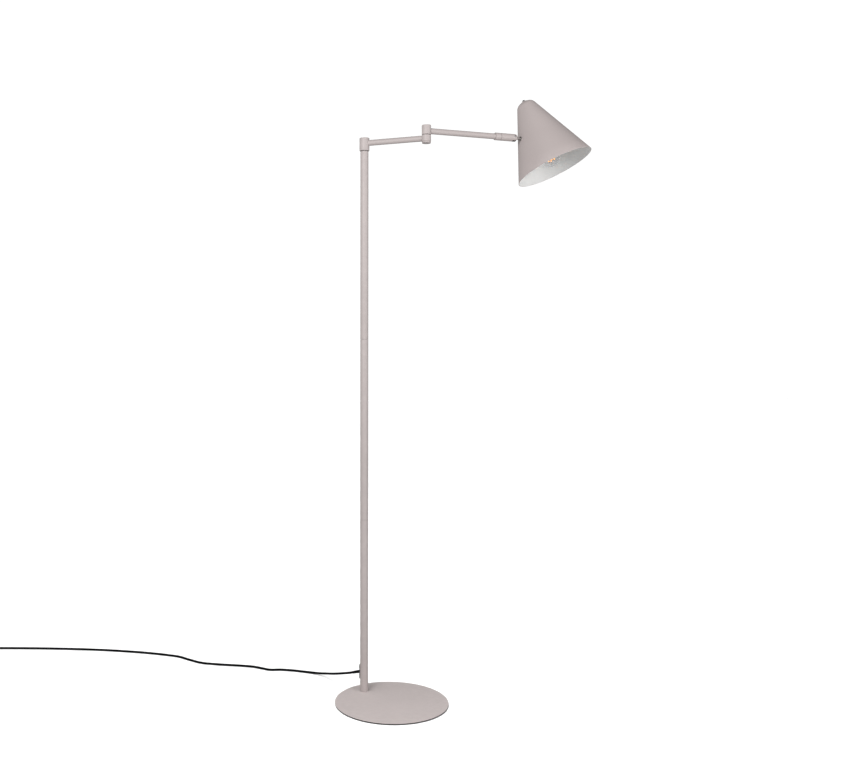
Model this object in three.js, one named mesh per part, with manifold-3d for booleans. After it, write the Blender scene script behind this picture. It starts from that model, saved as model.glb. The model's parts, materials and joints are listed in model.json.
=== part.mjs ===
// Floor-standing reading lamp: a round base, a three-piece post, two swinging arms and a cone shade.
// Millimetres, +Z up. The origin is the centre of the base's underside.

import * as THREE from 'three';
import { mergeVertices } from 'three/addons/utils/BufferGeometryUtils.js';
import Module from 'manifold-3d';

const wasm = await Module();
wasm.setup();

const degrees = THREE.MathUtils.degToRad;

// ---- Driving dimensions ----------------------------------------------------

const GAP = 0.3;                 // between pieces that touch
const RUNNING_GAP = 0.3;         // radial, between a spindle and what turns on it

const BASE_RADIUS = 125;
const PLATE_THICKNESS = 3.5;
const PAD_THICKNESS = 0.8;
const PAD_INSET = 2;
const POST_OFFSET = 87.5;        // post axis from the base's centre
const POST_BEARING = degrees(132.6);

const POST_RADIUS = 9;
const POST_WALL = 1.2;
const LOWER_TUBE = 391.2;
const MIDDLE_TUBE = 406.2;
const UPPER_TUBE = 417.8;
const COUPLER_LENGTH = 40;
const COUPLER_BORE = 4.5;

const BOLT_RADIUS = 3;
const BOLT_HEAD_RADIUS = 7;
const BOLT_HEAD_THICKNESS = 2;
const FOOT_LENGTH = 24;

const OUTLET_ABOVE_PLATE = 44.2; // middle of the cable outlet
const GROMMET_LENGTH = 35;
const GROMMET_WIDTH = 9;
const GROMMET_PROUD = 1.4;
const GROMMET_LIP = 1.6;         // behind the post's wall
const OUTLET_BEARING = degrees(152);
const OUTLET_DROP = degrees(16);
const RELIEF_LENGTH = 22;
const RELIEF_ROOT = 0.9;         // wall round the cable at the root
const RELIEF_TIP = 0.45;
const RELIEF_SHANK = 7;          // straight stretch before the taper
const RELIEF_START = 1.5;        // root, out from the grommet's inner face
const CABLE_RADIUS = 2.7;

const WASHER_THICKNESS = 0.8;
const POST_COLLAR_RADIUS = 11.05;
const POST_COLLAR_HEIGHT = 28.2;
const ARM_ABOVE_POST_COLLAR = 17; // arm axis above the collar's lower face
const SPINDLE_RADIUS = 5;
const SPINDLE_BORE = 3.2;
const BUSH_LENGTH = 24;
const SPINDLE_HEAD = 2.4;        // height of a spindle's head, and how far it stands out

const ARM_RADIUS = 6.35;
const ARM_WALL = 1.3;
const SPIGOT_RADIUS = 4.75;
const SPIGOT_BORE = 2.2;
const SPIGOT_LENGTH = 22;
const SADDLE = 3;                // how far a tube's end wraps round the collar it meets
const FIRST_ARM = 142.6;         // post axis to elbow axis
const SECOND_ARM = 212.3;        // elbow axis to the shade's hinge
const ARM_RISE = 15.85;          // second arm above the first
const FIRST_ARM_BEARING = degrees(-20.4);
const SECOND_ARM_BEARING = degrees(18.2);

const LOWER_ELBOW_RADIUS = 10.1;
const UPPER_ELBOW_RADIUS = 10.1;
const LOWER_ELBOW_DEPTH = 7.6;   // first arm's axis to the lower collar's underside
const LOWER_ELBOW_TOP = 6.6;     // first arm's axis to the lower collar's top
const ELBOW_WASHER = 0.5;
const UPPER_ELBOW_HEIGHT = 20.4;
const ELBOW_NUT_HEIGHT = 2.9;
const ELBOW_NUT_DEPTH = 1.7;     // its hole for the spindle's end
const ELBOW_NUT_ROUNDING = 0.7;
const ELBOW_SPINDLE_RADIUS = 4;
const ELBOW_SPINDLE_BORE = 2.4;
const CAP_THICKNESS = 2.2;

const SLEEVE_RADIUS = 8.3;
const FERRULE_LENGTH = 13.3;
const SLEEVE_LENGTH = 40.7;
const SLEEVE_END = 7.6;          // sleeve's end past the hinge
const SLEEVE_ROUNDING = 5.5;
const HEAD_SPINDLE_RADIUS = 3;
const HEAD_SPINDLE_BORE = 1.6;
const HEAD_SPINDLE_FLANGE = 2;   // how far its head stands out
const SLEEVE_FLOOR = 18.7;         // solid end of the sleeve, before the spindle's pocket
const POCKET_LENGTH = 6;
const SLOT_WIDTH = 6.6;
const SLOT_ROOF = 5;
const HEAD_ROLL = degrees(15.3);
const HEAD_TILT = degrees(3.4);
const HINGE_PIN_RADIUS = 2;
const KNUCKLE_EYE_RADIUS = 4.4;
const STEM_RADIUS = 3;
const STEM_LENGTH = 17.69;       // hinge to the shade's outer wall
const FLANGE_RADIUS = 4.8;
const FLANGE_THICKNESS = 2.2;

const SHADE_HALF_ANGLE = degrees(23.1);
const SHADE_RIM_RADIUS = 88.3;
const SHADE_TOP_RADIUS = 17.6;   // where wall and top would meet without the round corner
const SHADE_CORNER = 16;
const SHADE_WALL = 1.2;
const STEM_DOWN_WALL = 86.01;    // that corner to the stem, along the wall

const BUTTON_RADIUS = 2.8;
const BUTTON_TRAVEL = 1.6;
const SWITCH_RADIUS = 9;
const SWITCH_LENGTH = 20;
const SWITCH_BUSH_WALL = 1.5;
const SWITCH_BUSH_TOP = 2.2;     // above the shade's top
const SWITCH_DEPTH = 9;          // floor of the button's bore
const BUTTON_TOP = 5.4;
const HOLDER_STEM_LENGTH = 36;
const HOLDER_RADIUS = 19.5;
const HOLDER_LENGTH = 54;
const BULB_RADIUS = 22.5;
const BULB_LENGTH = 75;
const BULB_ABOVE_RIM = 4.3;
const CAP_LENGTH = 24.5;
const CAP_RADIUS = 13.2;
const FILAMENT_RADIUS = 1;
const FILAMENT_LENGTH = 28;
const FILAMENT_OFFSET = 6.5;     // from the bulb's axis
const FILAMENT_TILT = degrees(14);

const COIL_RADIUS = 32;          // middle of its two turns side by side
const COIL_X = -1089;
const COIL_Y = 413;
const PLUG_WIDTH = 35;
const PLUG_HEIGHT = 14;
const PLUG_LENGTH = 36;
const PLUG_PIN_SPACING = 18.6;
const PLUG_PIN_LENGTH = 19;
const PLUG_PIN_RADIUS = 2.4;
const TAIL_START = 25;           // past the coil's middle, along Y
const TAIL_LENGTH = 24;

// ---- Sizes that follow from them -------------------------------------------

const PLATE_TOP = PAD_THICKNESS + PLATE_THICKNESS;
const POST_X = POST_OFFSET * Math.cos(POST_BEARING);
const POST_Y = POST_OFFSET * Math.sin(POST_BEARING);
const POST_BORE = POST_RADIUS - POST_WALL;
const LOWER_START = PLATE_TOP + GAP;
const MIDDLE_START = LOWER_START + LOWER_TUBE + GAP;
const UPPER_START = MIDDLE_START + MIDDLE_TUBE + GAP;
const POST_TOP = UPPER_START + UPPER_TUBE;
const POST_COLLAR_BOTTOM = POST_TOP + WASHER_THICKNESS + 2 * GAP;
const FIRST_ARM_HEIGHT = POST_COLLAR_BOTTOM + ARM_ABOVE_POST_COLLAR;
const OUTLET_HEIGHT = PLATE_TOP + OUTLET_ABOVE_PLATE;
const ARM_BORE = ARM_RADIUS - ARM_WALL;
const SLEEVE_START = SECOND_ARM + SLEEVE_END - SLEEVE_LENGTH;
const FERRULE_START = SLEEVE_START - 2 * GAP - FERRULE_LENGTH;
const SECOND_TUBE_END = SLEEVE_START - 4 * GAP;
const SHADE_SLOPE = Math.tan(SHADE_HALF_ANGLE);
const SHADE_HEIGHT = (SHADE_RIM_RADIUS - SHADE_TOP_RADIUS) / SHADE_SLOPE;
const SWITCH_BOTTOM = -SHADE_WALL - GAP - SWITCH_LENGTH;
const HOLDER_TOP = SWITCH_BOTTOM - 2 * GAP - HOLDER_STEM_LENGTH;
const BULB_BOTTOM = BULB_ABOVE_RIM - SHADE_HEIGHT;
const CAP_TOP = BULB_BOTTOM + BULB_LENGTH;
const CAP_BOTTOM = CAP_TOP - CAP_LENGTH;
const BULB_CENTRE = BULB_BOTTOM + BULB_RADIUS;

// ---- Geometry helpers --------------------------------------------------------

// Sides of small, ordinary and large round shapes.
const SMALL_ROUND = 16;
const ROUND = 20;
const WIDE_ROUND = 28;

// A solid or ring turned about Z from [radius, height] points that run anticlockwise.
function turned(points, segments = ROUND) {
  const profile = points.map(([radius, height]) => new THREE.Vector2(radius, height));
  return new THREE.LatheGeometry(profile, segments).rotateX(Math.PI / 2);
}

function rod(radius, bottom, top, chamfer = 0, segments = ROUND) {
  const points = [[0, bottom], [radius - chamfer, bottom]];
  if (chamfer > 0) points.push([radius, bottom + chamfer], [radius, top - chamfer]);
  if (chamfer === 0) points.push([radius, top]);
  if (chamfer > 0) points.push([radius - chamfer, top]);
  return turned([...points, [0, top]], segments);
}

function ring(inner, outer, bottom, top, chamfer = 0, segments = ROUND) {
  const points = [[inner, bottom], [outer - chamfer, bottom]];
  if (chamfer > 0) points.push([outer, bottom + chamfer], [outer, top - chamfer]);
  points.push([outer - chamfer, top], [inner, top], [inner, bottom]);
  return turned(points, segments);
}

// Points of a round stretch, for a turned profile.
function arc(centre, radius, from, to, steps) {
  const points = [];
  for (let i = 0; i <= steps; i += 1) {
    const angle = from + (to - from) * (i / steps);
    points.push([centre[0] + radius * Math.cos(angle), centre[1] + radius * Math.sin(angle)]);
  }
  return points;
}

const alongX = (geometry) => geometry.rotateY(Math.PI / 2);
const alongY = (geometry) => geometry.rotateX(-Math.PI / 2);

function toSolid(geometry) {
  const bare = geometry.clone();
  for (const name of Object.keys(bare.attributes)) {
    if (name !== 'position') bare.deleteAttribute(name);
  }
  const merged = mergeVertices(bare, 1e-4);
  const corners = [];
  const index = merged.index.array;
  for (let i = 0; i < index.length; i += 3) {
    const [a, b, c] = index.slice(i, i + 3);
    if (a !== b && b !== c && c !== a) corners.push(a, b, c);
  }
  const vertProperties = new Float32Array(merged.attributes.position.array);
  const triVerts = new Uint32Array(corners);
  return new wasm.Manifold(new wasm.Mesh({ numProp: 3, vertProperties, triVerts }));
}

function toGeometry(solid) {
  const mesh = solid.getMesh();
  const geometry = new THREE.BufferGeometry();
  geometry.setAttribute('position', new THREE.BufferAttribute(mesh.vertProperties, 3));
  geometry.setIndex(new THREE.BufferAttribute(mesh.triVerts, 1));
  return geometry;
}

function cut(geometry, ...tools) {
  let solid = toSolid(geometry);
  for (const tool of tools) solid = solid.subtract(toSolid(tool));
  return toGeometry(solid);
}

function join(geometry, ...others) {
  let solid = toSolid(geometry);
  for (const other of others) solid = solid.add(toSolid(other));
  return toGeometry(solid);
}

// A flat bar with round ends, lying in the XZ plane and thick along Y.
function stadium(width, height, thickness) {
  const radius = width / 2;
  const reach = height / 2 - radius;
  const shape = new THREE.Shape();
  shape.absarc(0, reach, radius, 0, Math.PI);
  shape.absarc(0, -reach, radius, Math.PI, 2 * Math.PI);
  const options = { depth: thickness, bevelEnabled: false, curveSegments: 10 };
  return new THREE.ExtrudeGeometry(shape, options).rotateX(Math.PI / 2);
}

// ---- Materials ----------------------------------------------------------------

function finish(colour, roughness, metalness) {
  return () => new THREE.MeshStandardMaterial({ color: colour, roughness, metalness });
}

const TAUPE = finish(0x9b9189, 0.5, 0.1);
const BLACK_PLASTIC = finish(0x17171a, 0.45, 0);
const BLACK_RUBBER = finish(0x202022, 0.8, 0);
const STEEL = finish(0x9a9c9f, 0.35, 1);
const BRASS = finish(0xb59a55, 0.35, 1);
const GLASS = finish(0xe8eef0, 0.05, 0);
const AMBER = finish(0xe0a640, 0.5, 0);

// ---- Assembly helpers -----------------------------------------------------------

function frameAt(parent, [x, y, z], turn = {}) {
  const frame = new THREE.Group();
  frame.position.set(x, y, z);
  frame.rotation.set(turn.x ?? 0, turn.y ?? 0, turn.z ?? 0);
  parent.add(frame);
  return frame;
}

function piece(parent, name, geometry, material) {
  const mesh = new THREE.Mesh(geometry, material());
  mesh.name = name;
  parent.add(mesh);
  return mesh;
}

// ---- Base ------------------------------------------------------------------------

function addBase(lamp) {
  const headRoom = BOLT_HEAD_THICKNESS + 2 * GAP;
  const seat = rod(BOLT_HEAD_RADIUS + GAP, PAD_THICKNESS - 1, PAD_THICKNESS + headRoom);
  const hole = rod(BOLT_RADIUS + GAP, PAD_THICKNESS, PLATE_TOP + 1);
  const plate = rod(BASE_RADIUS, PAD_THICKNESS + GAP, PLATE_TOP, 0.6, 64);
  seat.translate(POST_X, POST_Y, 0);
  hole.translate(POST_X, POST_Y, 0);
  piece(lamp, 'base_plate', cut(plate, seat, hole), TAUPE);

  const window = rod(BOLT_HEAD_RADIUS + 3, -1, PAD_THICKNESS + 1).translate(POST_X, POST_Y, 0);
  const pad = rod(BASE_RADIUS - PAD_INSET, 0, PAD_THICKNESS, 0, 64);
  piece(lamp, 'base_pad', cut(pad, window), BLACK_RUBBER);
}

// ---- Post ------------------------------------------------------------------------

function addFoot(post) {
  const headBottom = PAD_THICKNESS + GAP;
  const headTop = headBottom + BOLT_HEAD_THICKNESS;
  const bolt = turned([
    [0, headBottom],
    [BOLT_HEAD_RADIUS, headBottom],
    [BOLT_HEAD_RADIUS, headTop],
    [BOLT_RADIUS, headTop],
    [BOLT_RADIUS, PLATE_TOP + FOOT_LENGTH * 0.8],
    [0, PLATE_TOP + FOOT_LENGTH * 0.8],
  ]);
  piece(post, 'foot_bolt', bolt, STEEL);
  const plug = ring(BOLT_RADIUS + GAP, POST_BORE - GAP, PLATE_TOP + GAP, PLATE_TOP + FOOT_LENGTH);
  piece(post, 'post_foot', plug, STEEL);
}

function outletSlot(clearance, depth) {
  const bar = stadium(GROMMET_WIDTH + 2 * clearance, GROMMET_LENGTH + 2 * clearance, depth);
  return bar.rotateZ(Math.PI / 2);
}

// The strain relief's taper, from inside the post outwards along +X.
function reliefTaper(clearance) {
  const root = CABLE_RADIUS + RELIEF_ROOT + clearance;
  const tip = CABLE_RADIUS + RELIEF_TIP + clearance;
  const end = RELIEF_LENGTH + clearance;
  return alongX(turned([[0, -clearance], [root, -clearance], [root, RELIEF_SHANK], [tip, end], [0, end]]));
}

function addOutlet(post) {
  const outlet = frameAt(post, [0, 0, OUTLET_HEIGHT], { z: OUTLET_BEARING });
  const inner = POST_BORE - GROMMET_LIP;
  const outer = POST_RADIUS + GROMMET_PROUD;
  const root = inner + RELIEF_START;
  const taper = reliefTaper(GAP).rotateY(OUTLET_DROP).translate(root, 0, 0);
  const grommet = cut(outletSlot(0, outer - inner).translate(inner, 0, 0), taper);
  piece(outlet, 'cable_grommet', grommet, BLACK_PLASTIC);
  const relief = reliefTaper(0).rotateY(OUTLET_DROP).translate(root, 0, 0);
  piece(outlet, 'strain_relief', relief, BLACK_RUBBER);
}

function postTube(start, length) {
  return ring(POST_BORE, POST_RADIUS, start, start + length, 0.3, WIDE_ROUND);
}

function addPost(post) {
  const slot = outletSlot(GAP, 20).rotateZ(OUTLET_BEARING);
  slot.translate(0, 0, OUTLET_HEIGHT);
  piece(post, 'post_tube_lower', cut(postTube(LOWER_START, LOWER_TUBE), slot), TAUPE);
  piece(post, 'post_tube_middle', postTube(MIDDLE_START, MIDDLE_TUBE), TAUPE);
  piece(post, 'post_tube_upper', postTube(UPPER_START, UPPER_TUBE), TAUPE);
  for (const [name, joint] of [['lower', MIDDLE_START], ['upper', UPPER_START]]) {
    const half = COUPLER_LENGTH / 2;
    const coupler = ring(COUPLER_BORE, POST_BORE - GAP, joint - half, joint + half, 0, SMALL_ROUND);
    piece(post, `post_coupler_${name}`, coupler, STEEL);
  }
  const wireStart = OUTLET_HEIGHT + GROMMET_LENGTH / 2 + 4;
  piece(post, 'post_wire', rod(2.2, wireStart, POST_TOP - 40, 0, 10), BLACK_RUBBER);
}

// The spindle on top of the post, which the first arm turns on.
function addPostPivot(post) {
  const bushBottom = POST_TOP - BUSH_LENGTH;
  const bush = ring(SPINDLE_RADIUS + GAP, POST_BORE - GAP, bushBottom, POST_TOP - GAP, 0, SMALL_ROUND);
  piece(post, 'post_bush', bush, STEEL);
  const washerBottom = POST_TOP + GAP;
  const washerBore = SPINDLE_RADIUS + RUNNING_GAP;
  const washerTop = washerBottom + WASHER_THICKNESS;
  const washer = ring(washerBore, POST_RADIUS, washerBottom, washerTop);
  piece(post, 'post_washer', washer, BLACK_PLASTIC);
  const spindleTop = POST_COLLAR_BOTTOM + POST_COLLAR_HEIGHT - CAP_THICKNESS - 2 * GAP;
  const flange = spindleTop - SPINDLE_HEAD;
  const spindle = turned([
    [SPINDLE_BORE, bushBottom],
    [SPINDLE_RADIUS, bushBottom],
    [SPINDLE_RADIUS, flange],
    [SPINDLE_RADIUS + SPINDLE_HEAD, flange],
    [SPINDLE_RADIUS + SPINDLE_HEAD, spindleTop],
    [SPINDLE_BORE, spindleTop],
    [SPINDLE_BORE, bushBottom],
  ], SMALL_ROUND);
  piece(post, 'post_spindle', spindle, STEEL);
}

// ---- Arms ------------------------------------------------------------------------

// A collar that turns about Z: bore below, a wider seat for the spindle's head, and a cap on top.
function collarBlank(radius, bottom, top, bore, seatRadius, seatBottom) {
  const soft = 0.7;
  return turned([
    [bore, bottom],
    [radius - soft, bottom],
    [radius, bottom + soft],
    [radius, top - soft],
    [radius - soft, top],
    [seatRadius, top],
    [seatRadius, seatBottom],
    [bore, seatBottom],
    [bore, bottom],
  ], WIDE_ROUND);
}

function armHole(from, to) {
  return alongX(rod(SPIGOT_RADIUS + GAP, from, to, 0, SMALL_ROUND));
}

function addSpigot(arm, name, from) {
  const spigot = alongX(ring(SPIGOT_BORE, SPIGOT_RADIUS, from, from + SPIGOT_LENGTH, 0, SMALL_ROUND));
  piece(arm, name, spigot, STEEL);
}

function addFirstArm(arm) {
  const bottom = -ARM_ABOVE_POST_COLLAR;
  const top = bottom + POST_COLLAR_HEIGHT;
  const bore = SPINDLE_RADIUS + RUNNING_GAP;
  const seatBottom = top - CAP_THICKNESS - SPINDLE_HEAD - 3 * GAP;
  const seat = SPINDLE_RADIUS + SPINDLE_HEAD + RUNNING_GAP;
  const collar = collarBlank(POST_COLLAR_RADIUS, bottom, top, bore, seat, seatBottom);
  piece(arm, 'arm1_collar', cut(collar, armHole(bore + 0.2, POST_COLLAR_RADIUS + 2)), TAUPE);
  piece(arm, 'arm1_collar_cap', rod(seat - GAP, top - CAP_THICKNESS, top - GAP, 0.3), TAUPE);

  const tubeStart = POST_COLLAR_RADIUS - SADDLE;
  const tubeEnd = FIRST_ARM - LOWER_ELBOW_RADIUS + SADDLE;
  const tube = alongX(ring(ARM_BORE, ARM_RADIUS, tubeStart, tubeEnd, 0, ROUND));
  const postSide = rod(POST_COLLAR_RADIUS + GAP, -20, 20, 0, WIDE_ROUND);
  const elbowSide = rod(LOWER_ELBOW_RADIUS + GAP, -20, 20, 0, WIDE_ROUND).translate(FIRST_ARM, 0, 0);
  piece(arm, 'arm1_tube', cut(tube, postSide, elbowSide), TAUPE);
  addSpigot(arm, 'arm1_spigot_post', bore + 1);
  addSpigot(arm, 'arm1_spigot_elbow', FIRST_ARM - ELBOW_SPINDLE_RADIUS - 1.8 - SPIGOT_LENGTH);
  const wireFrom = bore + 1 + SPIGOT_LENGTH + 2;
  const wireTo = FIRST_ARM - SPIGOT_LENGTH - 9;
  piece(arm, 'arm1_wire', alongX(rod(1.9, wireFrom, wireTo, 0, 10)), BLACK_RUBBER);
}

function addElbow(elbow) {
  const bore = ELBOW_SPINDLE_RADIUS + RUNNING_GAP;
  const bottom = -LOWER_ELBOW_DEPTH;
  const lower = ring(bore, LOWER_ELBOW_RADIUS, bottom, LOWER_ELBOW_TOP, 0.7, WIDE_ROUND);
  const hole = armHole(-LOWER_ELBOW_RADIUS - 2, -bore - 0.2);
  piece(elbow, 'elbow_lower_collar', cut(lower, hole), TAUPE);

  const nutTop = bottom - GAP;
  const nutBottom = nutTop - ELBOW_NUT_HEIGHT;
  const nutRadius = LOWER_ELBOW_RADIUS - 0.3;
  const rounding = ELBOW_NUT_ROUNDING;
  const nutInner = nutTop - ELBOW_NUT_DEPTH;
  const nut = turned([
    [0, nutBottom],
    ...arc([nutRadius - rounding, nutBottom + rounding], rounding, -Math.PI / 2, 0, 3),
    [nutRadius, nutTop],
    [bore, nutTop],
    [bore, nutInner],
    [0, nutInner],
  ], WIDE_ROUND);
  piece(elbow, 'elbow_nut', nut, TAUPE);

  const washerBottom = LOWER_ELBOW_TOP + GAP;
  const washerTop = washerBottom + ELBOW_WASHER;
  piece(elbow, 'elbow_washer', ring(bore, 9, washerBottom, washerTop), BLACK_PLASTIC);

  const headTop = washerTop + GAP + UPPER_ELBOW_HEIGHT - CAP_THICKNESS - 2 * GAP;
  const headBottom = headTop - SPINDLE_HEAD;
  const head = ELBOW_SPINDLE_RADIUS + SPINDLE_HEAD;
  const spindle = turned([
    [ELBOW_SPINDLE_BORE, nutInner + GAP],
    [ELBOW_SPINDLE_RADIUS, nutInner + GAP],
    [ELBOW_SPINDLE_RADIUS, headBottom],
    [head, headBottom],
    [head, headTop],
    [ELBOW_SPINDLE_BORE, headTop],
    [ELBOW_SPINDLE_BORE, nutInner + GAP],
  ], SMALL_ROUND);
  piece(elbow, 'elbow_spindle', spindle, STEEL);
}

function addSecondArm(arm) {
  const bottom = LOWER_ELBOW_TOP + ELBOW_WASHER + 2 * GAP - ARM_RISE;
  const top = bottom + UPPER_ELBOW_HEIGHT;
  const bore = ELBOW_SPINDLE_RADIUS + RUNNING_GAP;
  const seat = ELBOW_SPINDLE_RADIUS + SPINDLE_HEAD + RUNNING_GAP;
  const seatBottom = top - CAP_THICKNESS - SPINDLE_HEAD - 3 * GAP;
  const collar = collarBlank(UPPER_ELBOW_RADIUS, bottom, top, bore, seat, seatBottom);
  const hole = armHole(bore + 0.2, UPPER_ELBOW_RADIUS + 2);
  piece(arm, 'elbow_upper_collar', cut(collar, hole), TAUPE);
  piece(arm, 'elbow_cap', rod(seat - GAP, top - CAP_THICKNESS, top - GAP, 0.3), TAUPE);

  const tubeStart = UPPER_ELBOW_RADIUS - SADDLE;
  const tube = alongX(ring(ARM_BORE, ARM_RADIUS, tubeStart, SECOND_TUBE_END, 0, ROUND));
  const elbowSide = rod(UPPER_ELBOW_RADIUS + GAP, -20, 20, 0, WIDE_ROUND);
  piece(arm, 'arm2_tube', cut(tube, elbowSide), TAUPE);
  addSpigot(arm, 'arm2_spigot', bore + 0.8);
  const wireFrom = bore + SPIGOT_LENGTH + 4;
  piece(arm, 'arm2_wire', alongX(rod(1.9, wireFrom, SECOND_TUBE_END - 36, 0, 10)), BLACK_RUBBER);

  const ferruleEnd = FERRULE_START + FERRULE_LENGTH;
  const ferrule = ring(ARM_RADIUS + GAP, SLEEVE_RADIUS, FERRULE_START, ferruleEnd, 0.6, ROUND);
  piece(arm, 'arm2_ferrule', alongX(ferrule), TAUPE);
  const plugFrom = SECOND_TUBE_END - 30;
  const plug = ring(HEAD_SPINDLE_RADIUS + GAP, ARM_BORE - GAP, plugFrom, SECOND_TUBE_END, 0, SMALL_ROUND);
  piece(arm, 'arm2_end_plug', alongX(plug), STEEL);

  const spindleFrom = SECOND_TUBE_END - 22;
  const headFrom = SLEEVE_START + SLEEVE_FLOOR + GAP;
  const headTo = headFrom + 2.6;
  const spindle = turned([
    [HEAD_SPINDLE_BORE, spindleFrom],
    [HEAD_SPINDLE_RADIUS, spindleFrom],
    [HEAD_SPINDLE_RADIUS, headFrom],
    [HEAD_SPINDLE_RADIUS + HEAD_SPINDLE_FLANGE, headFrom],
    [HEAD_SPINDLE_RADIUS + HEAD_SPINDLE_FLANGE, headTo],
    [HEAD_SPINDLE_BORE, headTo],
    [HEAD_SPINDLE_BORE, spindleFrom],
  ], SMALL_ROUND);
  piece(arm, 'head_spindle', alongX(spindle), STEEL);
}

// ---- Swivel and hinge ---------------------------------------------------------------

function addSwivel(swivel) {
  const end = SECOND_ARM + SLEEVE_END;
  const pocketStart = SLEEVE_START + SLEEVE_FLOOR;
  const pocketEnd = pocketStart + POCKET_LENGTH;
  const bore = HEAD_SPINDLE_RADIUS + RUNNING_GAP;
  const pocket = HEAD_SPINDLE_RADIUS + HEAD_SPINDLE_FLANGE + RUNNING_GAP;
  const roundCentre = [SLEEVE_RADIUS - SLEEVE_ROUNDING, end - SLEEVE_ROUNDING];
  const blank = alongX(turned([
    [bore, SLEEVE_START],
    [SLEEVE_RADIUS - 0.6, SLEEVE_START],
    [SLEEVE_RADIUS, SLEEVE_START + 0.6],
    ...arc(roundCentre, SLEEVE_ROUNDING, 0, Math.PI / 2, 4),
    [0, end],
    [0, pocketEnd],
    [pocket, pocketEnd],
    [pocket, pocketStart],
    [bore, pocketStart],
    [bore, SLEEVE_START],
  ], WIDE_ROUND));
  const slotStart = SECOND_ARM - KNUCKLE_EYE_RADIUS - 2 * RUNNING_GAP;
  const slotLength = end + 10 - slotStart;
  const slotHeight = SLOT_ROOF + 20;
  const slot = new THREE.BoxGeometry(slotLength, SLOT_WIDTH, slotHeight);
  slot.translate(slotStart + slotLength / 2, 0, SLOT_ROOF - slotHeight / 2);
  const pinHole = alongY(rod(HINGE_PIN_RADIUS + GAP, -12, 12, 0, 14)).translate(SECOND_ARM, 0, 0);
  piece(swivel, 'swivel_sleeve', cut(blank, slot, pinHole), TAUPE);
  const pin = alongY(rod(HINGE_PIN_RADIUS, -SLEEVE_RADIUS + 0.7, SLEEVE_RADIUS - 0.7, 0, 14));
  piece(swivel, 'hinge_pin', pin.translate(SECOND_ARM, 0, 0), STEEL);
}

function addKnuckle(head) {
  const thickness = SLOT_WIDTH - 2 * RUNNING_GAP;
  const nutFrom = STEM_LENGTH + SHADE_WALL + 0.7;
  const nutTo = nutFrom + 3.4;
  const eye = alongY(rod(KNUCKLE_EYE_RADIUS, -thickness / 2, thickness / 2, 0, ROUND));
  const stem = alongX(rod(STEM_RADIUS, 0, nutTo + 0.5, 0, SMALL_ROUND));
  const pinHole = alongY(rod(HINGE_PIN_RADIUS + RUNNING_GAP, -10, 10, 0, 14));
  piece(head, 'knuckle', cut(join(eye, stem), pinHole), STEEL);
  const flangeFrom = STEM_LENGTH - GAP - FLANGE_THICKNESS;
  const flangeTo = STEM_LENGTH - GAP;
  const flange = ring(STEM_RADIUS + GAP, FLANGE_RADIUS, flangeFrom, flangeTo, 0.5);
  piece(head, 'stem_washer', alongX(flange), BLACK_PLASTIC);
  const nut = cut(rod(5.6, nutFrom, nutTo, 0, 6), rod(STEM_RADIUS + GAP, nutFrom - 1, nutTo + 1));
  piece(head, 'stem_nut', alongX(nut), STEEL);
}

// ---- Shade, switch and lamp -----------------------------------------------------------

// The shade's frame: +Z along its axis towards its top, zero at the top's outer face.
function shadeFrameOn(head) {
  const radius = SHADE_TOP_RADIUS + STEM_DOWN_WALL * Math.sin(SHADE_HALF_ANGLE);
  const drop = STEM_DOWN_WALL * Math.cos(SHADE_HALF_ANGLE);
  const sin = Math.sin(SHADE_HALF_ANGLE);
  const cos = Math.cos(SHADE_HALF_ANGLE);
  const x = STEM_LENGTH + radius * cos - drop * sin;
  const z = radius * sin + drop * cos;
  return frameAt(head, [x, 0, z], { y: -SHADE_HALF_ANGLE });
}

// One side of the wall, from the rim to the top, set in from the outer face.
function shadeSide(inset) {
  const corner = SHADE_CORNER - inset;
  const turn = Math.PI / 2 - SHADE_HALF_ANGLE;
  const centreRadius = SHADE_TOP_RADIUS - SHADE_CORNER * Math.tan(turn / 2);
  const rimRadius = SHADE_RIM_RADIUS - inset / Math.cos(SHADE_HALF_ANGLE);
  const round = arc([centreRadius, -SHADE_CORNER], corner, SHADE_HALF_ANGLE, Math.PI / 2, 4);
  return [[rimRadius, -SHADE_HEIGHT], ...round];
}

function addShade(shade, stemHole) {
  const boreRadius = BUTTON_RADIUS + RUNNING_GAP + SWITCH_BUSH_WALL + GAP;
  const outside = shadeSide(0);
  const inside = shadeSide(SHADE_WALL);
  const profile = [...outside, [boreRadius, 0], [boreRadius, -SHADE_WALL]];
  const shell = turned([...profile, ...inside.reverse(), outside[0]], 44);
  piece(shade, 'shade', cut(shell, stemHole), TAUPE);
}

function addSwitch(shade) {
  const bore = BUTTON_RADIUS + RUNNING_GAP;
  const bush = bore + SWITCH_BUSH_WALL;
  const top = -SHADE_WALL - GAP;
  const body = turned([
    [0, SWITCH_BOTTOM],
    [SWITCH_RADIUS, SWITCH_BOTTOM],
    [SWITCH_RADIUS, top],
    [bush, top],
    [bush, SWITCH_BUSH_TOP],
    [bore, SWITCH_BUSH_TOP],
    [bore, -SWITCH_DEPTH],
    [0, -SWITCH_DEPTH],
  ], ROUND);
  piece(shade, 'switch_body', body, BLACK_PLASTIC);
  piece(shade, 'switch_nut', ring(bush + GAP, 6.9, GAP, 1.9, 0.3, ROUND), TAUPE);
  const buttonBottom = BUTTON_TRAVEL + 2 * GAP - SWITCH_DEPTH;
  const soft = 1.1;
  const button = turned([
    [0, buttonBottom],
    [BUTTON_RADIUS, buttonBottom],
    ...arc([BUTTON_RADIUS - soft, BUTTON_TOP - soft], soft, 0, Math.PI / 2, 3),
    [0, BUTTON_TOP],
  ], SMALL_ROUND);
  piece(shade, 'switch_button', button, BLACK_PLASTIC);
}

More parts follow.
